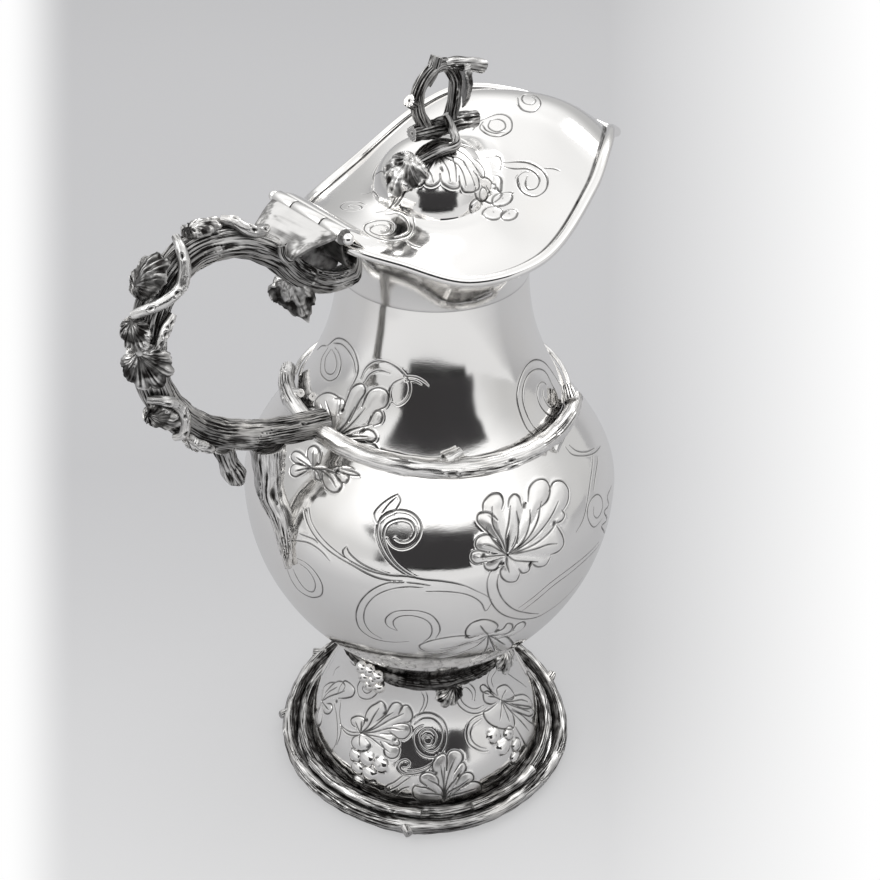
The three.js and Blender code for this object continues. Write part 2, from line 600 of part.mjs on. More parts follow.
// Grapes and leaves on the stem collar
const collarClear = [collarRing(SEAT), saddleVessel];
const collarOut = collarTwigCentre + COLLAR_TWIG_R;
const collarGrapes = [[-7, 2.5], [-1, 3.4], [5, 2.2], [-5, -1.6], [1.4, -0.8], [-1.2, -4.6], [5.6, -3.4]]
  .map(([turn, up]) => polar(degrees(-166 + turn), collarOut + 1.2, COLLAR_TWIG_Z + up));
add('collar_grapes', toGeometry(trim(join(...grapes(collarGrapes, 2.75)), ...collarClear)), LEAF);
const collarLeaves = [
  { name: 'collar_leaf_front', at: -116, lean: -4.5, size: 6 },
  { name: 'collar_leaf_side', at: -70, lean: -1.5, size: 7 },
];
for (const { name, at, lean, size } of collarLeaves) {
  const angle = degrees(at);
  const shape = leaf({
    at: polar(angle, collarOut + 0.5, COLLAR_TWIG_Z + lean), face: polar(angle, 1, 0.35),
    tip: v3(Math.sin(angle) * 0.5, -Math.cos(angle) * 0.5, -1), size, cup: 0.2,
  });
  add(name, toGeometry(trim(shape, ...collarClear)), LEAF);
}

// Vines laid on the handle, and leaves laid on it between them
const handleClear = [handleBar(SEAT)];
function handleVine(name, route, sizes) {
  const shape = (grow) => branch(route.map(([share, angle, lift]) => onHandle(share, angle, lift)),
    { radius: widths(...sizes.map((size) => size * VINE_R)), steps: 3 * (route.length - 1), sides: 6, grow });
  add(name, toGeometry(trim(shape(0), ...handleClear)), BARK);
  handleClear.push(shape(SEAT));
}
function handleLeaf(name, { share, angle, turn, lift = 0.7, ...form }) {
  const base = onHandle(share, angle, 0);
  const face = onHandle(share, angle, 1).sub(base);
  const tip = handleCurve.getTangentAt(share).applyAxisAngle(face, degrees(turn));
  const shape = (grow) => leaf({ at: onHandle(share, angle, lift), face, tip, cup: 0.2, grow, ...form });
  add(name, toGeometry(trim(shape(0), ...handleClear)), LEAF);
  handleClear.push(shape(SEAT));
}
handleVine('handle_vine_top', [
  [0.3, -8, 1.5], [0.287, 14, 1.6], [0.275, 38, 1.6], [0.252, 40, 1.6], [0.236, 18, 1.6],
], [0.75, 0.95, 1, 1, 0.75]);
handleVine('handle_vine_upper', [
  [0.362, -5, 1.6], [0.368, 30, 1.6], [0.382, 70, 1.6], [0.405, 88, 1.6], [0.432, 76, 1.6],
  [0.452, 46, 1.6], [0.468, 10, 1.6],
], [0.7, 0.95, 1.05, 1.1, 1.05, 0.95, 0.7]);
handleVine('handle_vine_middle', [[0.452, 112, 1.4], [0.468, 103, 1.5], [0.49, 92, 1.5], [0.508, 82, 1.4]],
  [0.65, 0.85, 0.85, 0.65]);
handleVine('handle_vine_lower', [
  [0.592, 40, 1.5], [0.602, 80, 1.6], [0.625, 102, 1.6], [0.658, 94, 1.6], [0.68, 62, 1.6], [0.683, 30, 1.5],
], [0.65, 0.9, 1, 1, 0.9, 0.65]);
handleLeaf('handle_leaf_crest', { share: 0.325, angle: -10, size: 6.6, wide: 0.9, turn: 180 });
handleLeaf('handle_leaf_top', { share: 0.415, angle: 0, size: 7.4, wide: 0.9, turn: 180 });
handleLeaf('handle_leaf_upper', { share: 0.497, angle: 22, size: 6, wide: 0.9, turn: 0 });
handleLeaf('handle_leaf_middle', { share: 0.545, angle: 62, size: 8.93, wide: 0.95, turn: 25 });
handleLeaf('handle_leaf_lower', { share: 0.637, angle: 46, size: 6, wide: 0.9, turn: 10 });
handleLeaf('handle_pod', { share: 0.728, angle: 48, size: 7, wide: 0.55, turn: 0, lobes: 3 });

// Leaf that hangs under the branch behind the neck
const hangingLeaf = leaf({
  at: handleCurve.getPointAt(0.11).add(v3(-4, -1.5, -5.2)), face: v3(-0.35, -1, -0.1), tip: v3(0.35, 0, -1),
  size: 11, wide: 0.95, cup: 0.12, thick: 1.8,
});
add('handle_leaf_hanging', toGeometry(trim(hangingLeaf, handleClear[0], saddleMouth, saddleVessel)), LEAF);

// Finial: a base twig across the dome, a loop of two limbs on it, leaves and a tendril
const finialTwigZ = DOME_TOP_Z + SEAT + FINIAL_TWIG_R * 1.06;
const finialTwig = (grow) => branch([
  v3(-10, 0, finialTwigZ + 0.6), v3(0, 0, finialTwigZ),
  v3(9, 0, finialTwigZ), v3(17, -0.5, finialTwigZ - 0.6),
], { radius: widths(...[0.8, 1, 1, 0.87].map((share) => share * FINIAL_TWIG_R)), steps: 12, sides: 8, grow });
add('finial_base_twig', toGeometry(trim(finialTwig(0), domeClear)), BARK);

const loopFoot = finialTwigZ + FINIAL_TWIG_R;
const onLoop = (across, up, y = 0) => v3(across * LOOP_HALF, y, loopFoot + up * LOOP_H);
const finialLoop = (grow) => {
  const limb = (points, sizes, steps) => branch(
    points, { radius: widths(...sizes.map((size) => size * LOOP_R)), steps, sides: 6, grow });
  return join(
    limb([
      onLoop(-0.46, -0.15), onLoop(-1, 0.24), onLoop(-1, 0.5), onLoop(-0.42, 0.78),
      onLoop(0.42, 0.84), onLoop(1, 0.6), onLoop(1.03, 0.3), onLoop(0.79, -0.15),
    ], [1.05, 1, 0.95, 0.9, 0.9, 0.95, 1, 1.1], 18),
    limb([onLoop(-0.58, 0.6), onLoop(-0.21, 0.82), onLoop(0, 1)], [0.8, 0.95, 0.9], 4),
    limb([onLoop(-1, 0.3), onLoop(-1.55, 0.44, -0.6)], [0.8, 0.95], 2),
    limb([onLoop(0.34, 0.84), onLoop(1.18, 0.8), onLoop(2.57, 0.66, -0.4)], [0.85, 1, 1.05], 5));
};
add('finial_loop', toGeometry(cut(finialLoop(0), finialTwig(SEAT))), BARK);

const loopClear = [finialLoop(SEAT), finialTwig(SEAT)];
const loopLeaf = leaf({
  at: onLoop(1.55, 0.44), face: v3(1, -0.25, 0.1), tip: v3(0.1, 0, -1),
  size: 7.6, wide: 0.8, cup: 0.2, thick: 1.6,
});
add('finial_leaf', toGeometry(trim(loopLeaf, ...loopClear)), LEAF);

const tendrilTaper = widths(0.8 * TENDRIL_R, TENDRIL_R, TENDRIL_R, 0.8 * TENDRIL_R);
const tendril = (grow) => branch([
  v3(1, -LOOP_R - TENDRIL_R, loopFoot + 2.5), v3(2.4, -FINIAL_TWIG_R - TENDRIL_R - 0.7, finialTwigZ + 0.8),
  onDome(-84, 0.76, TENDRIL_R + 0.8), onDome(-122, 0.72, TENDRIL_R + 0.7),
  onDome(-150, 0.6, TENDRIL_R + 0.6),
], { radius: tendrilTaper, steps: 14, sides: 6, grow });
add('finial_tendril', toGeometry(trim(tendril(0), domeClear, ...loopClear)), BARK);
const domeLeaf = leaf({
  at: onDome(-168, 0.42, 1), face: onDome(-168, 0.42, 2).sub(onDome(-168, 0.42, 1)),
  tip: onDome(-172, 0.1, 0).sub(onDome(-168, 0.42, 0)), size: 9.5, wide: 0.9, cup: 0.22, thick: 1.8,
});
add('finial_hanging_leaf', toGeometry(trim(domeLeaf, domeClear, tendril(SEAT), ...loopClear)), LEAF);

// The origin is under the middle of the whole object, on the surface that it stands on
const whole = new THREE.Box3().setFromObject(group, true);
group.position.set(-(whole.min.x + whole.max.x) / 2, -(whole.min.y + whole.max.y) / 2, -whole.min.z);

export default group;
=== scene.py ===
import math

import bpy
import numpy as np
from bpy.props import FloatProperty, FloatVectorProperty, PointerProperty
from mathutils import Matrix, Vector


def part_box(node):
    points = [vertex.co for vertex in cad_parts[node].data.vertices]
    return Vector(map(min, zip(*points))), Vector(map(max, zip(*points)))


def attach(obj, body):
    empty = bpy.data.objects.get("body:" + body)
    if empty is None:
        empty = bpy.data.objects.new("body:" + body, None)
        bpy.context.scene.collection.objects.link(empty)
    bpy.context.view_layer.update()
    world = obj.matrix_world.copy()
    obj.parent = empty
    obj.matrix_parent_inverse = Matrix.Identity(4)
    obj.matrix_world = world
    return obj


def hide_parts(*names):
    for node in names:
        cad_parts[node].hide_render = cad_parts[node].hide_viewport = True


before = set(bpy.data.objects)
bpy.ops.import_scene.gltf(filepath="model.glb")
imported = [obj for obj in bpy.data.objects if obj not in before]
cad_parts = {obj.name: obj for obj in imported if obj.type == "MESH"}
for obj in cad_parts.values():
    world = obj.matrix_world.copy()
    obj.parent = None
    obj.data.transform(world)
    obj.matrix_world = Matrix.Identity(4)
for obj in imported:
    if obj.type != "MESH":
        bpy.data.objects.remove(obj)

bl_info = {
    "name": "Wine flagon",
    "version": (1, 0, 0),
    "blender": (4, 5, 0),
    "location": "View3D > Sidebar > Flagon",
    "description": "Silver wine flagon with bark twigs, vine leaves and a hinged lid",
    "category": "Add Mesh",
}

# Lengths below are in millimetres from the vessel's axis, and angles in degrees from +X towards +Y.
# A piece is turned into metres in the frame when its mesh is made.
MM = 1000
LOW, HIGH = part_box("stem_collar")
AXIS = np.array([(LOW.x + HIGH.x) / 2 * MM, 0.0, 0.0])
UP = np.array([0.0, 0.0, 1.0])
SIDE = np.array([0.0, 1.0, 0.0])
OUTWARD = np.array([-1.0, 0.0, 0.0])

# Thickness of the sheet, the gap under a piece that lies on another, how far a turned edge is eased, and how
# far bark stands out against its branch's radius
SHEET = 1.2
SEAT = 0.35
EASE = 0.3
BULGE = 1.06

FOOT_BASE_R = 50.5
FLANGE_R = 60.5
FOOT_H = 57.0
STEM_R = 34.0
INNER_TWIG_R = 2.75
OUTER_TWIG_R = 3.0
FOOT_BRANCH_R = 1.9
COLLAR_H = 7.0
COLLAR_CORE_R = 30.0
COLLAR_TWIG_R = 3.1
VESSEL_BASE_R = 35.0
BELLY_R = 71.0
BELLY_UP = 77.0
NECK_R = 33.4
VESSEL_H = 166.6
SHOULDER_TWIG_UP = 117.0
SHOULDER_TWIG_R = 3.4
MOUTH_HALF_WIDTH = 48.5
MOUTH_BACK = 47.0
SPOUT_REACH = 86.0
RIM_SIDE_UP = 20.5
RIM_BACK_UP = 26.0
RIM_SHOULDER_UP = 42.5
RIM_TIP_UP = 27.5
RIM_WIRE_R = 1.75
LID_THICK = 1.2
LID_ARCH = 8.0
DOME_R = 21.0
DOME_TOP_UP = 46.0
PIN_R = 1.1
PIN_BALL_R = 1.9
KNUCKLE_R = 2.6
BARREL_HALF = 17.5
MIDDLE_KNUCKLE_HALF = 7.4
RUN = 0.3
BRACKET_REACH = 15.0
HANDLE_REACH = 111.5
HANDLE_RISE = 34.5
HANDLE_R = 5.4
SPUR_R = 4.6
SPUR_OUT = 72.5
STUB_R = 3.6
VINE_R = 1.9
FINIAL_TWIG_R = 3.1
LOOP_R = 2.0
LOOP_H = 20.5
LOOP_HALF = 7.6
TENDRIL_R = 1.5

VESSEL_Z = FOOT_H + COLLAR_H
SEAM_Z = VESSEL_Z + VESSEL_H
SHOULDER_Z = VESSEL_Z + SHOULDER_TWIG_UP
HINGE_X = -MOUTH_BACK - 4.0
HINGE_Z = SEAM_Z + RIM_BACK_UP + 7.3
DOME_TOP_Z = SEAM_Z + DOME_TOP_UP
BELLY_Z = VESSEL_Z + BELLY_UP
COLLAR_TWIG_Z = FOOT_H + COLLAR_H / 2


# Shared mathematics

def smooth(low, high, x):
    """0 up to low and 1 from high on, with a soft step between. low may be the higher one."""
    t = np.clip((x - low) / (high - low), 0.0, 1.0)
    return t * t * (3 - 2 * t)


def unit(v):
    v = np.asarray(v, float)
    return v / np.maximum(np.linalg.norm(v, axis=-1, keepdims=True), 1e-9)


def polar(angle, radius, z):
    a = np.radians(angle)
    return np.stack(np.broadcast_arrays(radius * np.cos(a), radius * np.sin(a), z), -1)


def corner_value(x, y, z):
    n = x * np.uint32(73856093) ^ y * np.uint32(19349663) ^ z * np.uint32(83492791)
    n = (n ^ (n >> np.uint32(13))) * np.uint32(1274126177)
    return ((n ^ (n >> np.uint32(16))) & np.uint32(0xffff)).astype(np.float32) / 32767.5 - 1


def noise(x, y, z=0.0):
    """Smooth random values from -1 to 1, the same in each run."""
    place = [np.asarray(v, float) + 4096 for v in np.broadcast_arrays(x, y, z)]
    base = [np.floor(v) for v in place]
    part = [(v - b) for v, b in zip(place, base)]
    part = [f * f * (3 - 2 * f) for f in part]
    whole = [b.astype(np.uint32) for b in base]
    total = 0
    for dx in (0, 1):
        for dy in (0, 1):
            for dz in (0, 1):
                weight = 1.0
                for f, d in zip(part, (dx, dy, dz)):
                    weight = weight * (f if d else 1 - f)
                total = total + weight * corner_value(
                    whole[0] + np.uint32(dx), whole[1] + np.uint32(dy), whole[2] + np.uint32(dz))
    return total


def lengths(line):
    """How far along a polyline each of its points lies."""
    return np.r_[0, np.cumsum(np.linalg.norm(np.diff(line, axis=0), axis=1))]


def even(line, count=None, pitch=None):
    """Points at even steps along a polyline, and its length."""
    steps = lengths(line)
    count = count or max(2, round(steps[-1] / pitch))
    at = np.linspace(0, steps[-1], count + 1)
    return np.stack([np.interp(at, steps, line[:, k]) for k in range(line.shape[1])], 1), steps[-1]


def bend(points, closed=False):
    """A centripetal Catmull-Rom curve through the points, finely divided."""
    p = np.asarray(points, float)
    if closed:
        ring = np.vstack([p[-1:], p, p[:2]])
    else:
        ring = np.vstack([2 * p[0] - p[1], p, 2 * p[-1] - p[-2]])
    t = np.linspace(0, 1, 16, endpoint=False)[:, None]
    spans = []
    for a, b, c, d in zip(ring, ring[1:], ring[2:], ring[3:]):
        k0, k1, k2 = (max(np.linalg.norm(v), 1e-9) ** 0.5 for v in (b - a, c - b, d - c))
        m1 = ((b - a) / k0 - (c - a) / (k0 + k1) + (c - b) / k1) * k1
        m2 = ((c - b) / k1 - (d - b) / (k1 + k2) + (d - c) / k2) * k1
        spans.append(b + m1 * t + (3 * (c - b) - 2 * m1 - m2) * t ** 2 + (2 * (b - c) + m1 + m2) * t ** 3)
    return np.vstack(spans + [ring[-2:-1]])


def bezier(points, count):
    """A curve that starts at the first point, ends at the last one and is drawn towards the others."""
    t = np.linspace(0, 1, count + 1)[:, None]
    p = [np.asarray(q, float) for q in points]
    while len(p) > 1:
        p = [a + (b - a) * t for a, b in zip(p, p[1:])]
    return p[0]


def widths(*sizes):
    """Sizes at even steps, as a function of the share along."""
    return lambda t: np.interp(t, np.linspace(0, 1, len(sizes)), sizes)


# Meshes

# Faces that meet at more than this angle keep a sharp edge
CREASE = 48


class Maker:
    """Collects points and faces of one piece, with how much oxide and painted shade darken each point and how
    matt it is.
    """

    def __init__(self):
        self.points, self.oxide, self.satin, self.grain = [], [], [], []
        self.loops, self.totals, self.count = [], [], 0

    def add(self, points, oxide=0.0, satin=0.0, grain=(0.0, 0.0, 0.0)):
        """Adds points and gives their numbers."""
        points = np.asarray(points, float).reshape(-1, 3)
        self.points.append(points)
        self.oxide.append(np.broadcast_to(np.ravel(oxide), len(points)))
        self.satin.append(np.broadcast_to(np.ravel(satin), len(points)))
        self.grain.append(np.broadcast_to(np.reshape(grain, (-1, 3)), (len(points), 3)))
        self.count += len(points)
        return np.arange(self.count - len(points), self.count)

    def faces(self, corners):
        corners = np.asarray(corners)
        self.loops.append(corners.reshape(-1))
        self.totals.append(np.full(len(corners), corners.shape[1]))

    def rings(self, rows, loop=False):
        """Quads between rings of point numbers. In a loop, the last ring meets the first."""
        rows = np.asarray(rows)
        low, high = (rows, np.roll(rows, -1, 0)) if loop else (rows[:-1], rows[1:])
        self.faces(np.stack([low, np.roll(low, -1, 1), np.roll(high, -1, 1), high], -1).reshape(-1, 4))

    def fan(self, ring, middle, flip=False):
        """Triangles from a ring of point numbers to one in its middle."""
        first, second = np.asarray(ring), np.roll(ring, -1)
        if flip:
            first, second = second, first
        self.faces(np.stack([first, second, np.full(len(ring), middle)], -1))

    def piece(self, name, node, finish, body="flagon"):
        """Makes the mesh, which rides on a body in place of a CAD piece."""
        mesh = bpy.data.meshes.new(name)
        points = (np.vstack(self.points) + AXIS) / MM
        loops, totals = np.concatenate(self.loops), np.concatenate(self.totals)
        mesh.vertices.add(len(points))
        mesh.vertices.foreach_set("co", points.astype(np.float32).ravel())
        mesh.loops.add(len(loops))
        mesh.loops.foreach_set("vertex_index", loops.astype(np.int32))
        mesh.polygons.add(len(totals))
        mesh.polygons.foreach_set("loop_start", np.r_[0, np.cumsum(totals)[:-1]].astype(np.int32))
        mesh.polygons.foreach_set("use_smooth", np.ones(len(totals), bool))
        mesh.update(calc_edges=True)
        for name_of, values in (("oxide", self.oxide), ("satin", self.satin)):
            attribute = mesh.attributes.new(name_of, "FLOAT", "POINT")
            attribute.data.foreach_set("value", np.concatenate(values).astype(np.float32))
        attribute = mesh.attributes.new("grain", "FLOAT_VECTOR", "POINT")
        attribute.data.foreach_set("vector", np.vstack(self.grain).astype(np.float32).ravel())
        mesh.set_sharp_from_angle(angle=math.radians(CREASE))
        if mesh.validate():
            raise RuntimeError(f"{name} has faulty faces")
        mesh.materials.append(finish)
        piece = bpy.data.objects.new(name, mesh)
        bpy.context.scene.collection.objects.link(piece)
        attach(piece, body)
        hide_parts(node)


# Parts that each side of a cell with chasing in it is cut into
FINE = 4


def sheet_cells(maker, place, rows, cols, marked):
    """A sheet that closes on itself along its columns, with the marked cells cut finer.
    place(row, col) gives points, darkness from oxide and painted shade, and satin for fractional rows and
    columns."""
    span = cols * FINE
    low_i, low_j = np.nonzero(marked)
    step = np.arange(FINE)
    sub = np.stack(np.meshgrid(step, step, indexing="ij"), -1).reshape(-1, 2)
    at_i = (low_i[:, None] * FINE + sub[:, 0]).ravel()
    at_j = (low_j[:, None] * FINE + sub[:, 1]).ravel()

    def key(i, j):
        return i * span + j % span

    def cells(i, j, size):
        return np.stack([key(i, j), key(i, j + size), key(i + size, j + size), key(i + size, j)], -1)

    fine_quads = cells(at_i, at_j, 1)
    below = np.vstack([np.zeros((1, cols), bool), marked[:-1]])
    above = np.vstack([marked[1:], np.zeros((1, cols), bool)])
    left, right = np.roll(marked, 1, 1), np.roll(marked, -1, 1)
    edge = ~marked & (below | above | left | right)
    i, j = np.nonzero(~marked & ~edge)
    plain_quads = cells(i * FINE, j * FINE, FINE)
    mixed = []
    for i, j in zip(*np.nonzero(edge)):
        i0, j0 = i * FINE, j * FINE
        sides = (
            (below[i, j], [(i0, j0 + k) for k in range(FINE)]),
            (right[i, j], [(i0 + k, j0 + FINE) for k in range(FINE)]),
            (above[i, j], [(i0 + FINE, j0 + FINE - k) for k in range(FINE)]),
            (left[i, j], [(i0 + FINE - k, j0) for k in range(FINE)]),
        )
        mixed.append([key(a, b) for finer, line in sides for a, b in (line if finer else line[:1])])
    keys = [fine_quads.ravel(), plain_quads.ravel(), np.array([k for face in mixed for k in face], int)]
    used = np.unique(np.concatenate(keys))
    first = maker.add(*place(used // span / FINE, used % span / FINE))[0]
    number = lambda keys: first + np.searchsorted(used, keys)
    for quads in (fine_quads, plain_quads):
        if len(quads):
            maker.faces(number(quads))
    for face in mixed:
        maker.faces(number(np.array([face])))
    ring = np.arange(cols) * FINE
    return number(ring), number(rows * span * FINE + ring)


# Outlines of the vessel and the foot

class Outline:
    """A turned shell's outline: radius, height and the way out of the sheet, by the length along it."""

    def __init__(self, line):
        line = even(np.asarray(line, float), count=900)[0]
        along = unit(np.gradient(line, axis=0))
        self.r, self.z = line.T
        self.out_r, self.out_z = along[:, 1], -along[:, 0]
        self.length = lengths(line)

    def at_length(self, s):
        return [np.interp(s, self.length, values) for values in (self.r, self.z, self.out_r, self.out_z)]

    def radius(self, s):
        return np.interp(s, self.length, self.r)

    def length_to(self, z):
        return np.interp(z, self.z, self.length)

    def point(self, angle, z, lift=0.0):
        """A point at a height, lifted off the sheet."""
        r, height, out_r, out_z = self.at_length(self.length_to(z))
        return polar(angle, r + out_r * lift, height + out_z * lift)


VESSEL = Outline(np.vstack([
    bezier([(VESSEL_BASE_R, VESSEL_Z), (VESSEL_BASE_R + 9, VESSEL_Z + 14), (BELLY_R, BELLY_Z - 42),
            (BELLY_R, BELLY_Z)], 400),
    bezier([(BELLY_R, BELLY_Z), (BELLY_R + 1, BELLY_Z + 27), (NECK_R + 2.6, BELLY_Z + 37),
            (NECK_R, SEAM_Z)], 400)[1:],
]))
FOOT = Outline(bezier([(FOOT_BASE_R, 6), (FOOT_BASE_R, 24), (STEM_R + 1, 34), (STEM_R, FOOT_H)], 600))


# Chasing: cuts of the graver, leaves and grapes raised in the sheet

def near(x, y, across, line):
    """Distance of points from a line on the sheet, and how far along it each lies, for those within reach."""
    low, high = line.min(0), line.max(0)
    reach = 3.0
    middle = (low[0] + high[0]) / 2
    turned = (x - middle + 180) % 360 - 180 + middle
    picked = np.nonzero((turned > low[0] - reach / across) & (turned < high[0] + reach / across)
                        & (y > low[1] - reach) & (y < high[1] + reach))[0]
    px, py, k = turned[picked], y[picked], across[picked]
    best = np.full(len(picked), 99.0)
    share = np.zeros(len(picked))
    steps = lengths(line)
    for n, (a, b) in enumerate(zip(line, line[1:])):
        ex, ey = (b[0] - a[0]) * k, b[1] - a[1]
        qx, qy = (px - a[0]) * k, py - a[1]
        t = np.clip((qx * ex + qy * ey) / np.maximum(ex * ex + ey * ey, 1e-9), 0, 1)
        d = np.hypot(qx - t * ex, qy - t * ey)
        closer = d < best
        best = np.where(closer, d, best)
        share = np.where(closer, (steps[n] + t * (steps[n + 1] - steps[n])) / max(steps[-1], 1e-9), share)
    return picked, best, share


def within(x, y, line):
    """Whether points lie inside a closed line."""
    inside = np.zeros(len(x), bool)
    for a, b in zip(line, np.roll(line, -1, 0)):
        if a[1] == b[1]:
            continue
        crosses = ((a[1] > y) != (b[1] > y)) & (x < (b[0] - a[0]) * (y - a[1]) / (b[1] - a[1]) + a[0])
        inside ^= crosses
    return inside


# Widths of the cuts round a leaf's lobe, along its vein and at its eye
LOBE_CUT = 1.1
VEIN_CUT = 0.95
EYE_CUT = 2.4


class Chasing:
    """What is chased on one sheet, with its places kept as (angle, length along the sheet)."""

    def __init__(self, cuts, leaves, grapes, outline, turns=(0,), grape_rise=0.45):
        self.outline, self.grape_rise = outline, grape_rise
        self.cuts, self.leaves, self.grapes = [], [], []
        for turn in turns:
            for width, *places in cuts:
                self.cuts.append((width, bend(self.chart(places, turn))[::3]))
            for base, lobes, veins, eyes in leaves:
                base = self.chart(base, turn)
                lobes = [bend(self.chart(lobe, turn))[::3] for lobe in lobes]
                self.leaves.append([np.vstack([base, lobe]) for lobe in lobes])
                self.cuts += [(LOBE_CUT, lobe) for lobe in lobes]
                for vein in veins:
                    self.cuts.append((VEIN_CUT, bend(np.vstack([base, self.chart(vein, turn)]))[::4]))
                for spot in self.chart(eyes, turn):
                    self.cuts.append((EYE_CUT, np.array([spot - (0.2, 0.3), spot + (0.2, 0.3)])))
            for angle, height, size in np.reshape(grapes, (-1, 3)):
                self.grapes.append((self.chart((angle, height), turn)[0], size))

    def chart(self, places, turn):
        """A table's angles and heights, turned about the axis and laid out on the sheet."""
        points = np.reshape(places, (-1, 2)).astype(float)
        points[:, 0] = turn - points[:, 0]
        points[:, 1] = self.outline.length_to(points[:, 1])
        return points

    def spread(self, y):
        """Millimetres round the sheet for each degree."""
        return np.radians(self.outline.radius(y))

    def marked(self, x, y, reach):
        """Cells that a cut or a grape's edge runs through."""
        across = self.spread(y)
        found = np.zeros(len(x), bool)
        for width, line in self.cuts:
            picked, distance, _ = near(x, y, across, line)
            found[picked[distance < reach + width / 2]] = True
        for (gx, gy), size in self.grapes:
            picked, distance, _ = near(x, y, across, np.array([(gx, gy), (gx + 1e-3, gy)]))
            found[picked[np.abs(distance - size) < reach + 0.6]] = True
        return found

    def relief(self, x, y, leaf_rise, cut_depth):
        """Height of the sheet over its plain shape, and how dark and how matt each point is."""
        across = self.spread(y)
        height, dark, matt = np.zeros(len(x)), np.zeros(len(x)), np.zeros(len(x))
        for lobes in self.leaves:
            raised = np.zeros(len(x))
            for lobe in lobes:
                closed = np.vstack([lobe, lobe[:1]])
                picked, distance, _ = near(x, y, across, closed)
                middle = (closed[:, 0].min() + closed[:, 0].max()) / 2
                inside = within((x[picked] - middle + 180) % 360 - 180 + middle, y[picked], lobe)
                depth = np.where(inside, distance, -distance)
                up = smooth(-1.6, 3.0, depth) * (0.8 + 0.2 * smooth(0.5, 3.0, depth))
                raised[picked] = np.maximum(raised[picked], up)
                matt[picked] = np.maximum(matt[picked], smooth(-0.1, 0.5, depth))
            height += raised * leaf_rise
        for (gx, gy), size in self.grapes:
            picked, distance, _ = near(x, y, across, np.array([(gx, gy), (gx + 1e-3, gy)]))
            dome = np.sqrt(np.clip(1 - (distance / size) ** 2, 0, 1)) * size * self.grape_rise
            height[picked] = np.maximum(height[picked], dome)
            ring = smooth(0.5, 0.08, np.abs(distance - size - 0.05))
            dot = smooth(0.42, 0.12, distance)
            dark[picked] = np.maximum(dark[picked], np.maximum(0.9 * ring, 0.75 * dot))
            height[picked] -= 0.12 * ring + 0.16 * dot
        for width, line in self.cuts:
            picked, distance, share = near(x, y, across, line)
            taper = smooth(0, 0.15, share) * smooth(1, 0.8, share) * 0.55 + 0.45 if width < 2 else 1.0
            half = 0.36 * width * taper
            cut = smooth(half + 0.14, 0.3 * half, distance)
            lip = smooth(half + 0.75, half + 0.25, distance) * smooth(half, half + 0.25, distance)
            height[picked] += cut_depth * (0.22 * lip - min(width, 1.5) * cut)
            dark[picked] = np.maximum(dark[picked], cut * (0.7 + 0.3 * taper))
        return height, dark, matt


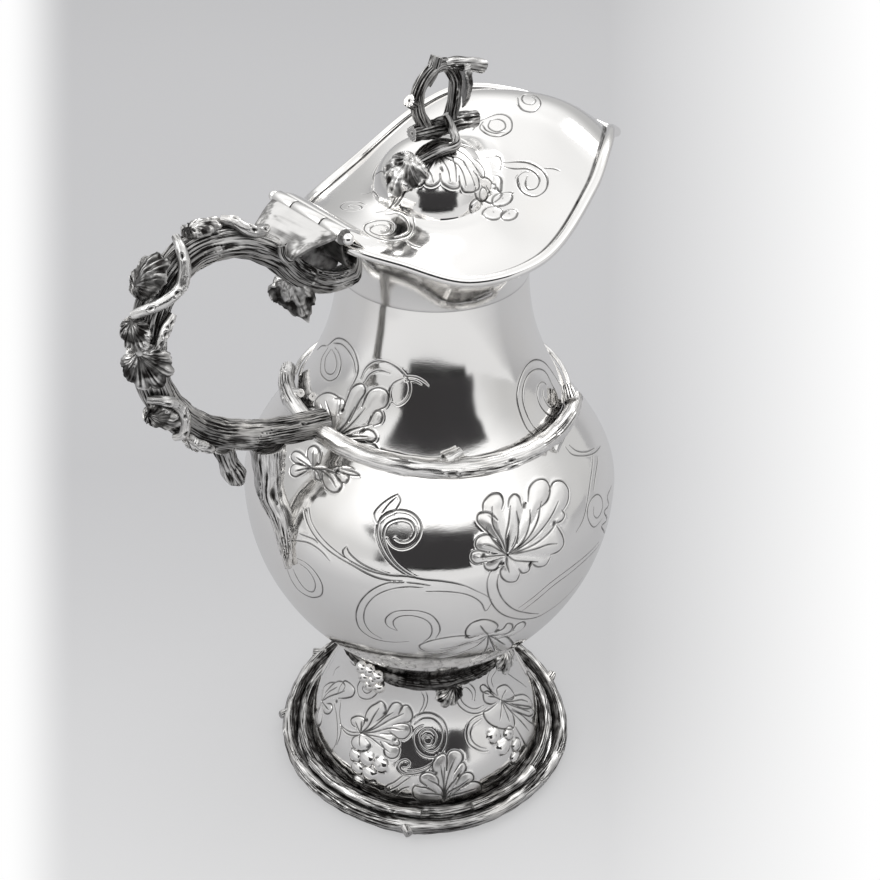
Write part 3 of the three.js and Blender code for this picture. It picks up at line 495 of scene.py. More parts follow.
# What is chased on the sheet, in degrees round from the spout towards the front and in millimetres. A place
# is its angle and height, or on the lid its angle and length from the dome's top. A cut is its width and its
# places, a leaf its base, lobes, veins and eyes, and a grape its place and size.
VESSEL_CUTS = (
    (0.7, 171.1, 161, 168.5, 157.9, 163.7, 154.7, 158.2, 152.2, 152.5, 150.2, 146.8, 148.7, 141.9, 148.4,
    136.6, 148.8, 131.5, 147.9, 127.5, 147.4, 123.5, 146.2, 120.3, 144.4, 117, 141.4, 114.3, 138.7,
    112.4, 135.7), (0.9, 172.9, 160.1, 169.8, 156.8, 165.9, 154, 161, 151.6, 156.5, 150.1, 152, 148.9,
    145.9, 146.8, 141.8, 146.4, 137.4, 146.8), (0.7, 171.6, 152.2, 168.5, 152.7, 165.7, 152.9,
    164.5, 152.4), (0.7, 172.9, 148.9, 168.1, 150.8, 165.2, 150.8, 162.2, 149.8, 159.6, 147.7), (0.7,
    155.2, 154.9, 155.9, 153.4, 155.4, 151.6, 153.4, 150.2), (0.7, 154.9, 154.7, 153.8, 153.1, 151.3, 151.4,
    148.6, 150.2, 145.2, 149.2, 141.5, 148.5), (0.8, 136.4, 149, 140, 151.5, 143.1, 154.8, 145.4, 158.4,
    146.7, 161.9, 146.2, 165.3, 144, 167.3, 140.4, 168.3, 136.6, 167.9, 134, 166, 133.2, 163.1,
    134.1, 160.4, 136.2, 158.2, 139, 157.3, 141.6, 158, 143.4, 159.9), (0.7, 134.5, 148.7, 138.4, 151.4,
    141.1, 154.2, 143.4, 157.9, 144.5, 161.1, 144.1, 163.6, 142.2, 165.2, 139.1, 166, 136.4, 165.4,
    135.1, 163.3, 135.5, 161.3, 137.2, 159.8, 139.5, 159.6, 141.1, 160.3), (0.7, 141.7, 172.5, 144.7, 170.7,
    147.4, 168.2, 148.5, 165.9, 147.1, 163.7), (0.7, 141.7, 172.3, 140.6, 170.9, 141.8, 168.2, 144.8, 166.3,
    146.5, 164.4), (0.6, 142.2, 171.5, 144.4, 169.2, 146.3, 166.3), (0.7, 131.4, 142.9, 127.5, 142.9,
    123.5, 142.2, 120.3, 140.8, 117.7, 138.6, 115.5, 135.3, 114, 131, 112.5, 134.3), (0.6, 136.8, 146.4,
    133, 146.1, 129.7, 145.4), (0.9, 137.4, 146.3, 141.8, 145.2, 145.8, 141.7, 149.3, 135.9, 151.4, 129.4,
    152.1, 122.7, 151.1, 116.8, 147.7, 113.5, 141.8, 113.2, 136.4, 115.1), (0.7, 132.2, 144.5, 136.2, 144.6,
    140.9, 142.7, 145, 139, 147.7, 134.2, 149.2, 128.9, 149.5, 122.6, 148, 117.7, 144.4, 114.2), (0.8,
    128.2, 118, 127.1, 122.6, 127.7, 127.3, 129.9, 131.6, 132.9, 133.3, 136.5, 133.3, 139.8, 132.2,
    142.1, 129.4, 143, 126, 142.1, 123, 139.8, 121.5), (0.7, 132, 115.2, 130, 118.8, 129.4, 122.7,
    130.1, 127, 132.1, 129.6, 135.3, 130.8, 138.6, 129.9, 140.5, 127.2, 140.6, 124.6, 139.6, 121.6), (0.8,
    113, 149.3, 114.1, 145.4, 113.8, 139.8, 112, 133.3, 109, 127.6, 104.7, 122.8, 99.5, 118.8, 93.9, 116.1,
    87.8, 116.1, 80.6, 117.7, 73.3, 120.5), (0.8, 110.8, 147, 111.2, 143, 109.9, 137.1, 107.5, 131.8,
    104.3, 127.1, 99.7, 122.7, 94.5, 118.3), (0.6, 103.4, 127.7, 98.4, 130.8, 92.5, 134.3, 85.5, 135.5,
    76.7, 134.9, 66.3, 133.1), (0.6, 102.1, 125.1, 97, 128.4, 91, 131.8, 83.7, 132.6, 75.3, 132.3,
    64.3, 130.1), (0.8, 176.5, 132.6, 175.4, 128.4, 172.9, 125.2, 168.1, 125.4, 164, 128.7, 162.7, 131.4,
    162.5, 135.9, 164.5, 140.1, 168, 142.4, 171.4, 142.1), (0.7, 173.6, 135.4, 171.8, 131.1, 169.3, 128.6,
    166.8, 129, 165.1, 132.7, 165.4, 136.7, 167.6, 139.6, 170.9, 140.4), (0.6, 58.6, 164.2, 68.7, 159.9,
    74.2, 155.9, 78.5, 152.1, 82.7, 149.8), (0.6, 56.7, 161.9, 64.7, 159.4, 69.1, 156.9), (0.6, 67.3, 144.3,
    73.1, 145.3, 75.8, 150.3, 75.1, 153.8, 71.9, 155.5, 67.6, 154.8, 65.8, 151.8, 66.8, 148.3, 70.6, 147.4,
    72.6, 150.2, 71.5, 152.8), (0.6, 70.7, 173.5, 69.8, 170.7, 64.7, 167.3, 57.2, 163.9, 49.8, 161.7), (0.6,
    68.3, 173, 66.3, 170, 61.8, 167.1, 55.2, 164.5), (0.8, 55.5, 149, 61.5, 149, 61, 145, 65.5, 146,
    61.4, 138.3, 67.2, 140.9, 61.3, 131.9), (0.7, 217.7, 196.5, 213, 200.1, 203.9, 203.8), (0.7,
    202.3, 203.8, 204.9, 198.6, 200.9, 195.5, 194, 195.1, 188.5, 196.3, 184.8, 199.3, 184.9, 203.2,
    189, 205.9, 195.3, 206.5), (0.6, 198.2, 204.5, 200.6, 200.3, 197.2, 197.5, 192.6, 197.3, 188.6, 199.1,
    188.3, 202.1, 192.4, 204.4, 197.4, 204.8), (0.8, 203.9, 203.8, 195.6, 209.5, 186.2, 211.7, 178.9, 210.8,
    173.8, 207.8, 171.8, 204.5, 172.6, 201, 174.5, 197), (0.7, 197.3, 207.2, 188.7, 209.5, 181.6, 209.1,
    175.9, 206.8, 173.1, 203.6), (0.7, 169.2, 202.7, 167.9, 206.3, 163.5, 209.6, 157.1, 211, 149.1, 210,
    144, 207.6, 141.4, 204.9, 141.6, 201.5, 144, 198.9, 147.2, 197.7, 149.8, 198.5), (0.7, 166.9, 201.7,
    164.7, 205, 159.6, 207.5, 153, 207.6), (0.7, 145.6, 206.8, 150.8, 204.3, 151.9, 201.2, 150.5, 198.9),
    (0.9, 145, 207.5, 138.6, 207.6, 134.3, 206.3, 132.2, 205.1), (0.7, 143.9, 206.3, 139.2, 206.3,
    135.3, 205.2), (0.8, 79.6, 179.7, 83.1, 181.6, 85.8, 185.2, 86.6, 189.9, 85.7, 195.5, 80.8, 200,
    72.6, 202.7, 61.8, 201.3, 50.6, 194.9, 47.2, 187.9, 48.1, 183.3, 55.6, 181.7, 63, 181.7, 68.7, 183,
    71.5, 185.8, 72.7, 189, 71.8, 192, 68.1, 193.9, 62.6, 193.2, 61, 191.4), (0.7, 80, 181.1, 82.1, 184.9,
    83.1, 189.3, 82.5, 194.1, 78.5, 198.1, 72, 199.8, 62.3, 198, 56, 194, 55.6, 189.3, 56.9, 185.5,
    60.8, 184.4, 65.6, 184.9, 67.7, 187.1, 67.9, 190.1, 65.9, 191.7),
)
VESSEL_LEAVES = (
    ((107.8, 153.2), ((113.3, 167, 112.4, 169.7, 109.2, 171.4, 106.3, 170.9, 105.6, 168.8, 107, 166.6),
    (104.4, 166.9, 103, 169.1, 101, 169.7, 99.7, 168.6, 99.6, 165.9), (96.9, 166.5, 94.4, 170, 90.6, 170.8,
    87.2, 169.6, 86.9, 167.1, 89.9, 164.4, 94.6, 163.3), (87.9, 166.5, 84.3, 167.9, 80.7, 166.6,
    79.8, 163.7, 82.1, 160.8, 85.7, 159.2), (85.8, 159.7, 85.3, 157.8, 86.8, 156.8, 89.6, 156.9),
    (89.5, 156.1, 88.3, 152, 88.4, 148.7, 90.5, 147.3, 93.8, 147.6), (93.8, 146.6, 95.6, 144.3, 98.3, 145,
    100.2, 147.3), (100.9, 147.2, 101.4, 144.8, 103.3, 144.7, 104.6, 147.1), (104.2, 145.2, 105.4, 142.2,
    107.7, 142.7, 109.9, 145.6, 110.2, 148.5, 109.2, 150), (110, 151.1, 112, 149.2, 114.4, 150,
    115.1, 152.3), (114.2, 152.6, 117.3, 152.6, 118.6, 154.4, 118.1, 156.2, 116, 156.4, 113.2, 154.9),
    (113.3, 155.7, 116, 156.5, 117, 158.3, 116, 160.3, 112.9, 160.7, 111, 159.2), (110.6, 159.1,
    114.2, 163.1, 115.5, 165.1, 114.7, 166.8, 111.6, 166.7, 108.7, 163.7)), ((107.5, 158.4, 105.5, 162.6,
    103.7, 166.9), (104.6, 156.2, 102.5, 161, 102.1, 165.1), (102.8, 155.7, 99, 159.9, 97.4, 164.1),
    (101.2, 156.1, 95.7, 160.5, 92.3, 165), (99.4, 155.5, 92.4, 158.8, 86.2, 162.6), (98.7, 153.8,
    92.4, 155.5, 88.8, 157.3), (98.9, 152.3, 94.3, 151.9, 91.2, 150.7), (110.4, 156.9, 112.2, 160.3,
    113.2, 163.3), (110.2, 155.5, 112.4, 157.3, 114.7, 158.2), (110.8, 153.8, 113.4, 154.1, 116, 154.3),
    (108.4, 151.2, 107.8, 147.2), (105.8, 150.8, 102.2, 149, 98.4, 147.3), (108.9, 158.3, 110.8, 162.9,
    110.1, 168)), (98.6, 165.8, 90.3, 157.2, 100.8, 147.4, 110, 151, 115.1, 154.7)),
    ((111.9, 116.1), ((114.2, 117.5, 118.2, 117, 119.4, 121.4, 117.8, 125.7, 114.8, 126.7, 111.3, 124.3,
    109.3, 120.4, 110.1, 117.5), (110.5, 117.3, 107.4, 117.6, 106.2, 120.5, 104.4, 118.9, 103.9, 115.4,
    106, 113.2), (108.4, 112.6, 103.7, 114.1, 102.5, 117.5, 100.5, 117.9, 98.8, 115, 99.5, 112,
    103.4, 110.7), (113.2, 113.1, 118.7, 112.8, 123, 110, 127.5, 107.9, 132, 109.5, 133.1, 112.7,
    130.7, 115.7, 127.8, 117.4, 123.5, 118.6, 119.2, 118.4, 114.6, 116.9), (109.1, 111, 105.6, 111.3,
    102.3, 106.3, 99.1, 97.9, 102.2, 97.2, 107.1, 103.9)), ((116.1, 114.4, 121.4, 112.3, 126.7, 111.7),
    (114.6, 109.5, 119.8, 105.6, 126.3, 103.1), (110.9, 107.6, 110.9, 99.8), (109.7, 109.2, 106.1, 99.2),
    (114.1, 121.1, 115.3, 124.1), (108.1, 114.1, 102.6, 114.2), (107.4, 109.9, 104.1, 104.9)),
    (109.3, 117.5, 118.7, 117.9)),
    ((176.2, 171.4), ((179.4, 170.9, 185.2, 169.5, 188.5, 169.9, 188.4, 171.5, 185.4, 172.7, 179.8, 172.7),
    (177.7, 170.4, 179.7, 168.2, 181.8, 166.4, 184.4, 166.3, 185.6, 167.6, 184.2, 169.7, 178.9, 170.9),
    (174.8, 170.9, 173.1, 169.5, 171.1, 169.8, 171, 171.2, 172.3, 172.2), (172.9, 171.9, 170.2, 170.1,
    167.8, 168.7, 164.8, 168.4, 162.8, 169.3, 162.4, 170.9, 163.8, 172.2, 168.2, 173.2), (167.1, 173.6,
    163.3, 171.8, 161, 172.5, 161, 173.9, 163.8, 174.5), (166.9, 174.2, 161.5, 174.4, 157.1, 175.2,
    159.4, 175.7, 165.5, 175.2), (177.7, 172.2, 181.4, 173.4, 182.5, 175.3, 180.4, 177, 176.7, 176.6,
    175, 173.6)), ((172.3, 172.2, 167.2, 171.6, 164.1, 170), (173.1, 171.2, 170.3, 169.2), (181, 171.3,
    185.3, 171), (179.6, 169.8, 182.6, 167.7), (177.6, 173.5, 179.3, 175.6), (170.9, 173, 164.6, 173.6)),
    (166.2, 174.2, 178.3, 170.7)),
    ((173.7, 181.4), ((179.4, 180.3, 192.8, 179.9, 197.9, 180.5, 196.4, 182.7, 192.4, 185.2, 184.2, 184.9),
    (180, 182.8, 190, 185.4, 192.9, 187, 192, 189.4, 187.5, 192.3, 181.2, 193.5, 177, 192.8, 175.3, 188.8),
    (181.1, 192.4, 177, 193.7, 174.1, 192.9, 174.1, 190.9), (174.3, 190, 173.9, 194.6, 173.2, 198,
    170.4, 200.3, 166.7, 201.1, 164.8, 199.4, 166.7, 195.6, 168.9, 188), (164.5, 194.3, 162.8, 199.6,
    157.7, 201.9, 153.4, 201.5, 151.7, 199.3, 152.7, 196.7, 155.3, 195.3, 158.2, 193.4), (159.4, 189.4,
    157.2, 194.5, 154.4, 194.6, 153.2, 193, 153.7, 191.4, 156.6, 189.9), (162.1, 186.3, 159.5, 188.1,
    156.3, 188.3, 154.2, 186.8, 155.2, 185.3, 158.8, 184.9), (165.8, 182.7, 156.8, 184.5, 153.6, 184.3,
    152.3, 182.7, 153.8, 181.7, 160, 181.8)), ((177.3, 182.8, 181.5, 185.8, 187.3, 188.2), (176.2, 184.1,
    178.3, 186.9, 185.1, 190.1), (173, 182.9, 170, 187.7, 168.2, 193.4), (171.8, 183, 167.8, 187.4,
    162.6, 194.3), (171.1, 183.1, 165.3, 187, 157.5, 190.2), (177.1, 181.6, 184.5, 182.4, 190, 184),
    (178.1, 181.2, 187.6, 180.9, 196.4, 180.7), (170.2, 182.9, 164.2, 184.9, 158.1, 186.3), (169.6, 182.5,
    163.4, 183.3, 156.9, 183.3)), (174.3, 190.6, 161.1, 187.5)),
)
FOOT_CUTS = (
    (0.7, 196.6, 29.9, 190.9, 28.1, 185.3, 24.2, 182.6, 19.7, 183.1, 15.7), (0.7, 192.6, 33.8, 188.6, 29.4,
    183.5, 26.1, 181.6, 22.3, 181.7, 18.2), (0.7, 197.7, 51.4, 191.8, 52.3, 185.6, 55.1, 183.5, 57), (0.6,
    213.2, 34.3, 215, 36.5, 210.8, 41.3), (0.8, 164.9, 52.7, 165, 49.4, 169.1, 45, 174.8, 42.6, 179.9, 42.3,
    182.9, 45.2, 180.4, 50.1, 172.8, 55.5), (0.7, 168.5, 52.6, 170.2, 48.2, 173.9, 45.6, 177.9, 46.1,
    176.4, 49.9, 170.7, 54.4), (0.9, 183.5, 26.1, 178.7, 25.7, 174.2, 26.6, 170, 28.5), (0.7, 185.3, 26.7,
    180.5, 26.7, 175.3, 27.6, 171, 29.3), (0.9, 139.9, 38.7, 138.9, 42.1, 133.4, 44.9, 126.1, 44.9,
    119.4, 41.3, 117.1, 35.9, 118.6, 31.1, 122.7, 27.8, 127.7, 27.2, 132.8, 28.4, 136.3, 31.1, 137.5, 34.7,
    136.1, 37.7, 132.1, 39.6), (0.7, 137.4, 40.2, 132.2, 42.8, 125.5, 42.4, 121, 39, 119.9, 34.9, 122, 31.4,
    126.1, 29.5, 130.6, 30.2, 133.9, 32.8, 133.8, 36.1, 130.7, 38.1, 126.3, 37.6, 123.8, 34.6, 125.1, 32,
    128.8, 31, 131.7, 32.5, 132.2, 34.9, 129.9, 36.3), (0.7, 126.3, 34.2, 127.2, 32.4, 129.9, 32.2,
    131.5, 33.4, 130.4, 35.1, 127.9, 35.5, 126.3, 34.4), (0.9, 124.6, 27.5, 127.7, 23.6, 132.3, 21.4,
    137.8, 20.2, 141.9, 20.3, 144.5, 22.1, 143.8, 24.5, 140.6, 25.8, 138.4, 24.7, 139.5, 23, 141.7, 22.7),
    (0.7, 122.7, 28.2, 126.9, 25.1, 131.5, 23.1, 136.3, 22.1, 139.5, 21.8), (0.6, 133.8, 55.2, 131.8, 52,
    132.4, 48.4, 134.8, 44.9), (0.6, 130.9, 55.9, 129.4, 52, 130.2, 48.4, 132.3, 45.5), (0.8, 149.7, 11.4,
    148.8, 13.3, 145.3, 15.9, 141.9, 19, 141.1, 19.5), (0.7, 148.1, 10.8, 144.1, 13.9, 140.7, 17,
    137.7, 19.2), (0.7, 149.7, 11.3, 145.4, 10.3, 140.3, 9.9, 134.7, 10.1), (0.7, 144.3, 9.4, 141.4, 13.3,
    137.4, 15.3), (0.9, 88.7, 39.8, 93.2, 39.5, 98.6, 40.5, 104.2, 43.1, 108.4, 46.8, 109.7, 51.2,
    107.5, 55.1, 102.7, 56.6, 97.7, 53.7, 94.9, 49.6, 96.5, 45.4), (0.7, 90, 41.6, 97.2, 42.2, 102.7, 44.9,
    106.1, 48.4, 106.5, 52.1, 103.4, 54.2, 99.5, 52, 97.5, 48.6, 98.3, 46.4), (0.9, 92, 38.3, 98.4, 38.8,
    103.4, 37.4, 106, 34.1, 105.6, 30.2, 102.1, 26.9, 98.2, 24.7, 95.1, 23.9), (0.7, 94.3, 37, 100.9, 35.9,
    103.7, 33.2, 102.7, 29.8, 99.4, 26.9, 95.6, 25), (0.8, 68.2, 53.4, 78.9, 55.2, 83.6, 51.5, 81.8, 45.9,
    77.2, 40.9), (0.7, 71.8, 51.9, 79.2, 50.2, 78.5, 45.3), (0.6, 63.5, 47.7, 55.2, 39.5, 48.7, 32.2,
    44.7, 26.6),
)
FOOT_LEAVES = (
    ((208.1, 23.4), ((209.3, 27.1, 207.3, 33.2, 203.6, 37.2, 198.3, 39.7, 193.6, 40.1, 194.1, 36.6),
    (197.9, 34.5, 198, 40.3, 190.8, 43.1, 184.3, 42.9, 184.2, 40.3, 187.8, 37.5, 195.5, 33.2), (211.2, 24.6,
    214.5, 26.3, 211.9, 30.9, 206.4, 35), (202.7, 26.1, 198.2, 28.5, 195.7, 27.8, 196.1, 25.3, 199.9, 23,
    204.2, 22.7), (206.6, 21.5, 207.4, 16.6, 205.6, 13.9, 201.2, 15, 199.1, 18.2, 201.3, 21.4)),
    ((206.4, 29.2, 200.7, 35.9), (202.8, 29.9, 192.2, 38.7), (202.5, 25, 197.6, 26.2), (205.7, 20.4,
    202.5, 16.4)), (195.9, 31.4)),
    ((169.6, 29.5), ((173.3, 30.3, 177.5, 30.4, 178.9, 31.7, 176.8, 33.8, 173, 35.3, 169.7, 35.3,
    169.6, 32.2), (168.9, 33.8, 170.1, 37.4, 168.4, 41, 164.5, 44, 161.4, 45.9, 157.9, 44.8, 156.8, 41.8,
    161.7, 36.9), (156.9, 40.4, 154.4, 45.2, 152.5, 47.2, 148.4, 48, 146.2, 46.7, 148.1, 43), (148.1, 43,
    146.2, 46.7, 142.5, 47.7, 139.8, 45.5, 139, 43, 140.7, 40.8, 144.8, 40.1), (150.6, 38.1, 145.3, 39.5,
    141, 39.3, 139.5, 37, 142.1, 34, 146.1, 33.3, 152.5, 35.2), (157.2, 32.9, 153.4, 33.7, 149.6, 34.3,
    147, 33.2, 145, 31.3, 148.5, 30.1, 153.8, 30.7), (156.2, 30.1, 153.6, 28.2, 152.1, 25.9, 148.5, 25.1,
    145.5, 26.5, 144.7, 29.4, 148.7, 30.8), (170.4, 28.3, 172.9, 26.4, 173.2, 24.3, 170.7, 22.8,
    166.6, 23.1, 162.5, 25, 161.5, 27.2, 165.4, 28.8)), ((166.2, 33.3, 164, 38.5, 161.6, 42.9),
    (163.4, 33.7, 156.8, 39.9, 151.7, 43.3), (161.9, 33.8, 153.7, 39.3, 144.7, 44), (161.4, 32.6,
    151.5, 36.6, 142.9, 37.1), (163.4, 30.7, 156.8, 31.7, 150.8, 31.7), (163, 30, 155.7, 28.6, 149.7, 27.4),
    (169.1, 27.5, 167.1, 25.1), (171.8, 30.5, 174.9, 32.4), (170, 31.6, 171.1, 33.9)), (168.2, 35.5,
    157.3, 41.6, 162.3, 26.5, 147.9, 32.7)),
    ((121.2, 6.9), ((124.6, 20.1, 126.6, 23.5, 125.8, 26.1, 123.1, 27.9, 120.1, 28.2, 118.6, 26.3,
    119.5, 21.4), (119.5, 21.4, 119, 26.3, 117, 28.7, 113.5, 28.8, 110.6, 27.1, 110.6, 24.9, 113.1, 22.6,
    116, 20), (116, 20, 113.1, 22.6, 110.6, 23.6, 109.3, 21.8, 110.4, 19.7, 113.5, 18.3), (115.3, 15.3,
    112.8, 18.1, 109.7, 19.1, 106.6, 17.8, 106, 15.4, 108.4, 14.1, 112.8, 12.7), (116, 11.3, 110.6, 13.9,
    106.2, 14, 102.4, 10.8, 103, 7.5, 114, 6.9), (123.7, 15.4, 124.1, 18.7, 126.7, 20.9, 129.9, 21.4,
    132.5, 20.2, 132.8, 18.4, 129.3, 15.7), (125.2, 12.5, 129.3, 14.7, 132.3, 15.1, 135.2, 15.5,
    136.3, 13.9, 135.5, 10.5, 132.2, 8.1, 126.7, 7.1)), ((121.1, 14.2, 121.9, 19.9, 122.5, 24.2),
    (120.5, 14.1, 118.5, 20.4, 115.2, 25.8), (119.9, 13, 115.7, 17.3, 112, 20.6), (119.6, 11.4, 113.8, 14,
    108.7, 16.2), (119.7, 9.1, 112.9, 10.5, 105.8, 10.6), (122, 13.3, 124.7, 16.5, 128.8, 18.9),
    (122.4, 10.7, 127.2, 12.1, 132.3, 12.7), (121.7, 8.8, 120.9, 19.8, 120.6, 23.2)), (124.9, 20.8,
    113.6, 18.7, 110.1, 13.9)),
    ((75.2, 38), ((84.4, 44.8, 90.1, 48.5, 90.6, 50.8, 87.5, 50.7, 84.2, 47.9, 79.2, 42.1), (79.5, 41.6,
    85.1, 46.7, 88.7, 46.8, 89, 43.2, 85, 40.3, 79.1, 39), (76.7, 40.6, 76.3, 43.6, 71.2, 43.2, 65.2, 40.4,
    62.4, 36.7, 62, 33.5, 65.9, 33.8, 71.3, 36.6), (69.5, 35.7, 60.5, 32.6, 52.1, 27.5, 49.3, 22.8,
    51.3, 20.7, 59.3, 25, 67.6, 32.6), (69.3, 33.5, 59.7, 26.9, 52.7, 20.5, 53.2, 18.2, 57.7, 19.9,
    62.6, 24.3, 69.5, 31.1), (71.5, 31.7, 65, 26, 60.9, 19.4, 57.6, 14.8, 59, 11.1, 65.2, 11.6, 69.6, 12.6,
    71, 16.1, 73.3, 25.7), (79.5, 38.4, 87.4, 38.6, 91.8, 38.7, 91, 35.2, 86.7, 31, 81, 27.6, 73.9, 25,
    71.4, 29.6, 73.4, 34.6)), ((72.5, 33.2, 68.5, 25.5, 64.9, 17.2), (69.7, 33.2, 62.8, 27.3, 57, 21.7),
    (68.5, 34.1, 58.8, 29.3, 54, 25), (72.3, 39.6, 68.4, 39.8), (79.6, 41.4, 85.6, 44.3), (78.8, 35.1,
    82.4, 32), (75.6, 33.7, 76.1, 28.6)), (81.8, 44.9, 76, 25.2)),
)
FOOT_GRAPES = (
    168.5, 20.4, 3.1, 161.6, 21.7, 3.5, 153.5, 21.5, 3.3, 165.6, 15.9, 3.2, 158.7, 15.9, 3.5,
    163.9, 9.8, 2.8, 89.2, 28.3, 3.5, 79.3, 24.9, 2.9, 85.6, 21.8, 3.7, 77.1, 18.2, 2.9, 80, 13.6, 3.1,
)
LID_CUTS = (
    (0.7, 182.2, 35.6, 174.3, 31.5, 160.3, 30.7, 151, 32.3, 145.9, 36.7, 146.2, 40.9, 150.1, 44.2,
    155.4, 46.8, 161.6, 47.8, 167.1, 47.4, 171.7, 45.7, 174.7, 42.5, 173.7, 39.2, 168.3, 37, 160.8, 37.7,
    157.7, 41.4, 159.8, 45, 164.8, 46.1, 168.9, 44.8, 170, 41.6, 166.8, 39.6, 161.6, 40.1, 161.3, 42.1,
    164.2, 43.2), (0.6, 174.3, 34.4, 164.1, 32.9, 153, 34.7, 148.7, 38.4, 150.7, 41.4, 154.2, 43.7), (0.6,
    146.6, 43.9, 142.5, 45.1, 136.6, 45.4), (0.5, 201.6, 36, 211.3, 38.2, 215, 41.6, 208.2, 43.9,
    200.6, 43.4, 196.4, 41, 196.5, 38.1, 203.6, 37.9, 207.9, 40.1, 204.8, 41.5, 200.9, 40.4), (0.6,
    226.5, 37.2, 212.7, 30.5, 192.9, 29.6, 190.5, 31.7), (0.7, -19.7, 25.9, -18.6, 29.4, -14.8, 30.9,
    -9.2, 32.3, -2.5, 32.3, 4.8, 30.9, 9.3, 28.6, 7.7, 25.9, 0.7, 23.9, -9.1, 24.6, -15.8, 27.1,
    -15.8, 29.5), (0.6, -11.1, 29.6, -5.9, 30.3, 0.9, 29.6, 4, 28.2, 2, 26.3, -4.4, 25.9, -9.7, 27.4,
    -11.1, 29.6), (0.6, -14.7, 27.7, -8.1, 25.4, 1.2, 25.3, 6.3, 27.4), (0.6, -8.7, 42.5, -2.8, 38.2,
    3.6, 37, 7.9, 38.7, 5.6, 42.3, -0.5, 46.3, -5.8, 48.1, -8.5, 46.6, -6.1, 42.3, -1, 40.1, 1.9, 41.1,
    -0.2, 44.4, -4.2, 46), (0.6, -3.9, 38.2, 2.3, 36.6, 7.4, 37.6), (0.8, 35.2, 24.2, 36.1, 27.6, 39.1, 32,
    43.7, 36.2, 49, 40.1, 54.1, 42.7, 59.1, 43.5, 62.2, 41.7, 61.1, 37.4, 55.7, 33.5, 49.5, 31.8,
    46.3, 33.1, 46.8, 34.6), (0.7, 39.3, 25, 42.5, 29.2, 44.2, 33.3, 48.1, 36.9, 53.4, 39.8, 57.7, 40.1,
    58.7, 38.2, 55.2, 35.7, 49.1, 34.7), (0.5, 46.2, 39.4, 47.6, 43.1, 49.2, 45.5), (0.9, 170.6, 23.6,
    170.6, 26.7, 173.5, 29.5, 180.3, 32.3), (0.9, 160.7, 22.4, 163.1, 26, 170.2, 29.7), (0.5, 165.2, 23.1,
    166.9, 26.3, 172.3, 29.3), (0.7, 274.2, 44.1, 203.5, 21.5, 193.8, 22.1), (0.7, 205.2, 20.2,
    191.8, 21.8),
)
DOME_LOBES = (
    (156, 18.7, 158.1, 19.6, 154.3, 21, 148.1, 21.2, 143.2, 19.8, 142.2, 18.1), (142.9, 18.2, 141.9, 19.8,
    136.3, 20.8, 129.5, 20.3, 125, 18.6, 125.5, 16.6), (123.9, 16.9, 123.3, 19.3, 117.2, 21.2, 110, 21.9,
    104.5, 21.1, 102.5, 17.9), (104.5, 19.9, 102.4, 22.8, 96, 23.9, 87.9, 24.1, 81.4, 23.1, 79.5, 20.4,
    81.7, 18), (87.5, 23.1, 89.2, 25, 86.7, 27.2, 79.5, 28.4, 72.8, 27.6, 73.5, 25.4, 78.5, 23.4),
    (67.3, 14.6, 63.1, 16.5, 63.2, 19.3, 68.2, 21.4, 74.9, 20.6, 74.9, 17.2), (70.7, 21.4, 63.1, 23.1,
    58.3, 26, 63.4, 28.1, 67.9, 26.8, 71.9, 23.8), (50.9, 24.2, 50.9, 25.9, 58.1, 28.5, 63.8, 30,
    61.1, 28.1, 57.6, 25.8),
)
DOME_VEINS = (
    (125.7, 9, 118.6, 12.1, 114, 16.2, 114.2, 19.5), (96.5, 6.2, 75.1, 11, 74.9, 17.2, 72.4, 21.2),
    (53.6, 6.4, 39.1, 13.8, 27.3, 21.6, 44.5, 24.6), (141.3, 14.6, 134.9, 17.3, 132.2, 19.6), (97.8, 14.7,
    96.9, 17.6, 97.9, 21.6), (133.4, 12.1, 140.4, 16, 147.9, 19.7), (87.4, 13.6, 87.5, 17.5, 88.1, 22.4),
    (100.8, 9.1, 102.1, 13.5, 107.3, 19.7),
)
LID_GRAPES = (
    90, 29.2, 2.5, 71.1, 29.5, 2.7, 81.6, 35.1, 2.7, 68.8, 32.9, 2.5, 76.7, 39.1, 2.2, 78.6, 26.2, 2.1,
)


# Bark: branches with grain, lenticels, pits and cut ends

def frame_along(line, toward, closed):
    if closed:
        along = unit(np.roll(line, -1, 0) - np.roll(line, 1, 0))
    else:
        along = unit(np.gradient(line, axis=0))
    side = np.broadcast_to(toward, line.shape)
    side = unit(side - along * (side * along).sum(1, keepdims=True))
    return along, side, np.cross(along, side)


def meeting(field, s, length, closed):
    """A field along a branch, which meets itself where the branch is closed."""
    values = field(s)
    if closed:
        blend = smooth(length - 25, length, s)
        values = [a + (b - a) * blend for a, b in zip(values, field(s - length))]
    return values


# Scale of the grain along a branch against its scale round it
GRAIN_STRETCH = 0.05


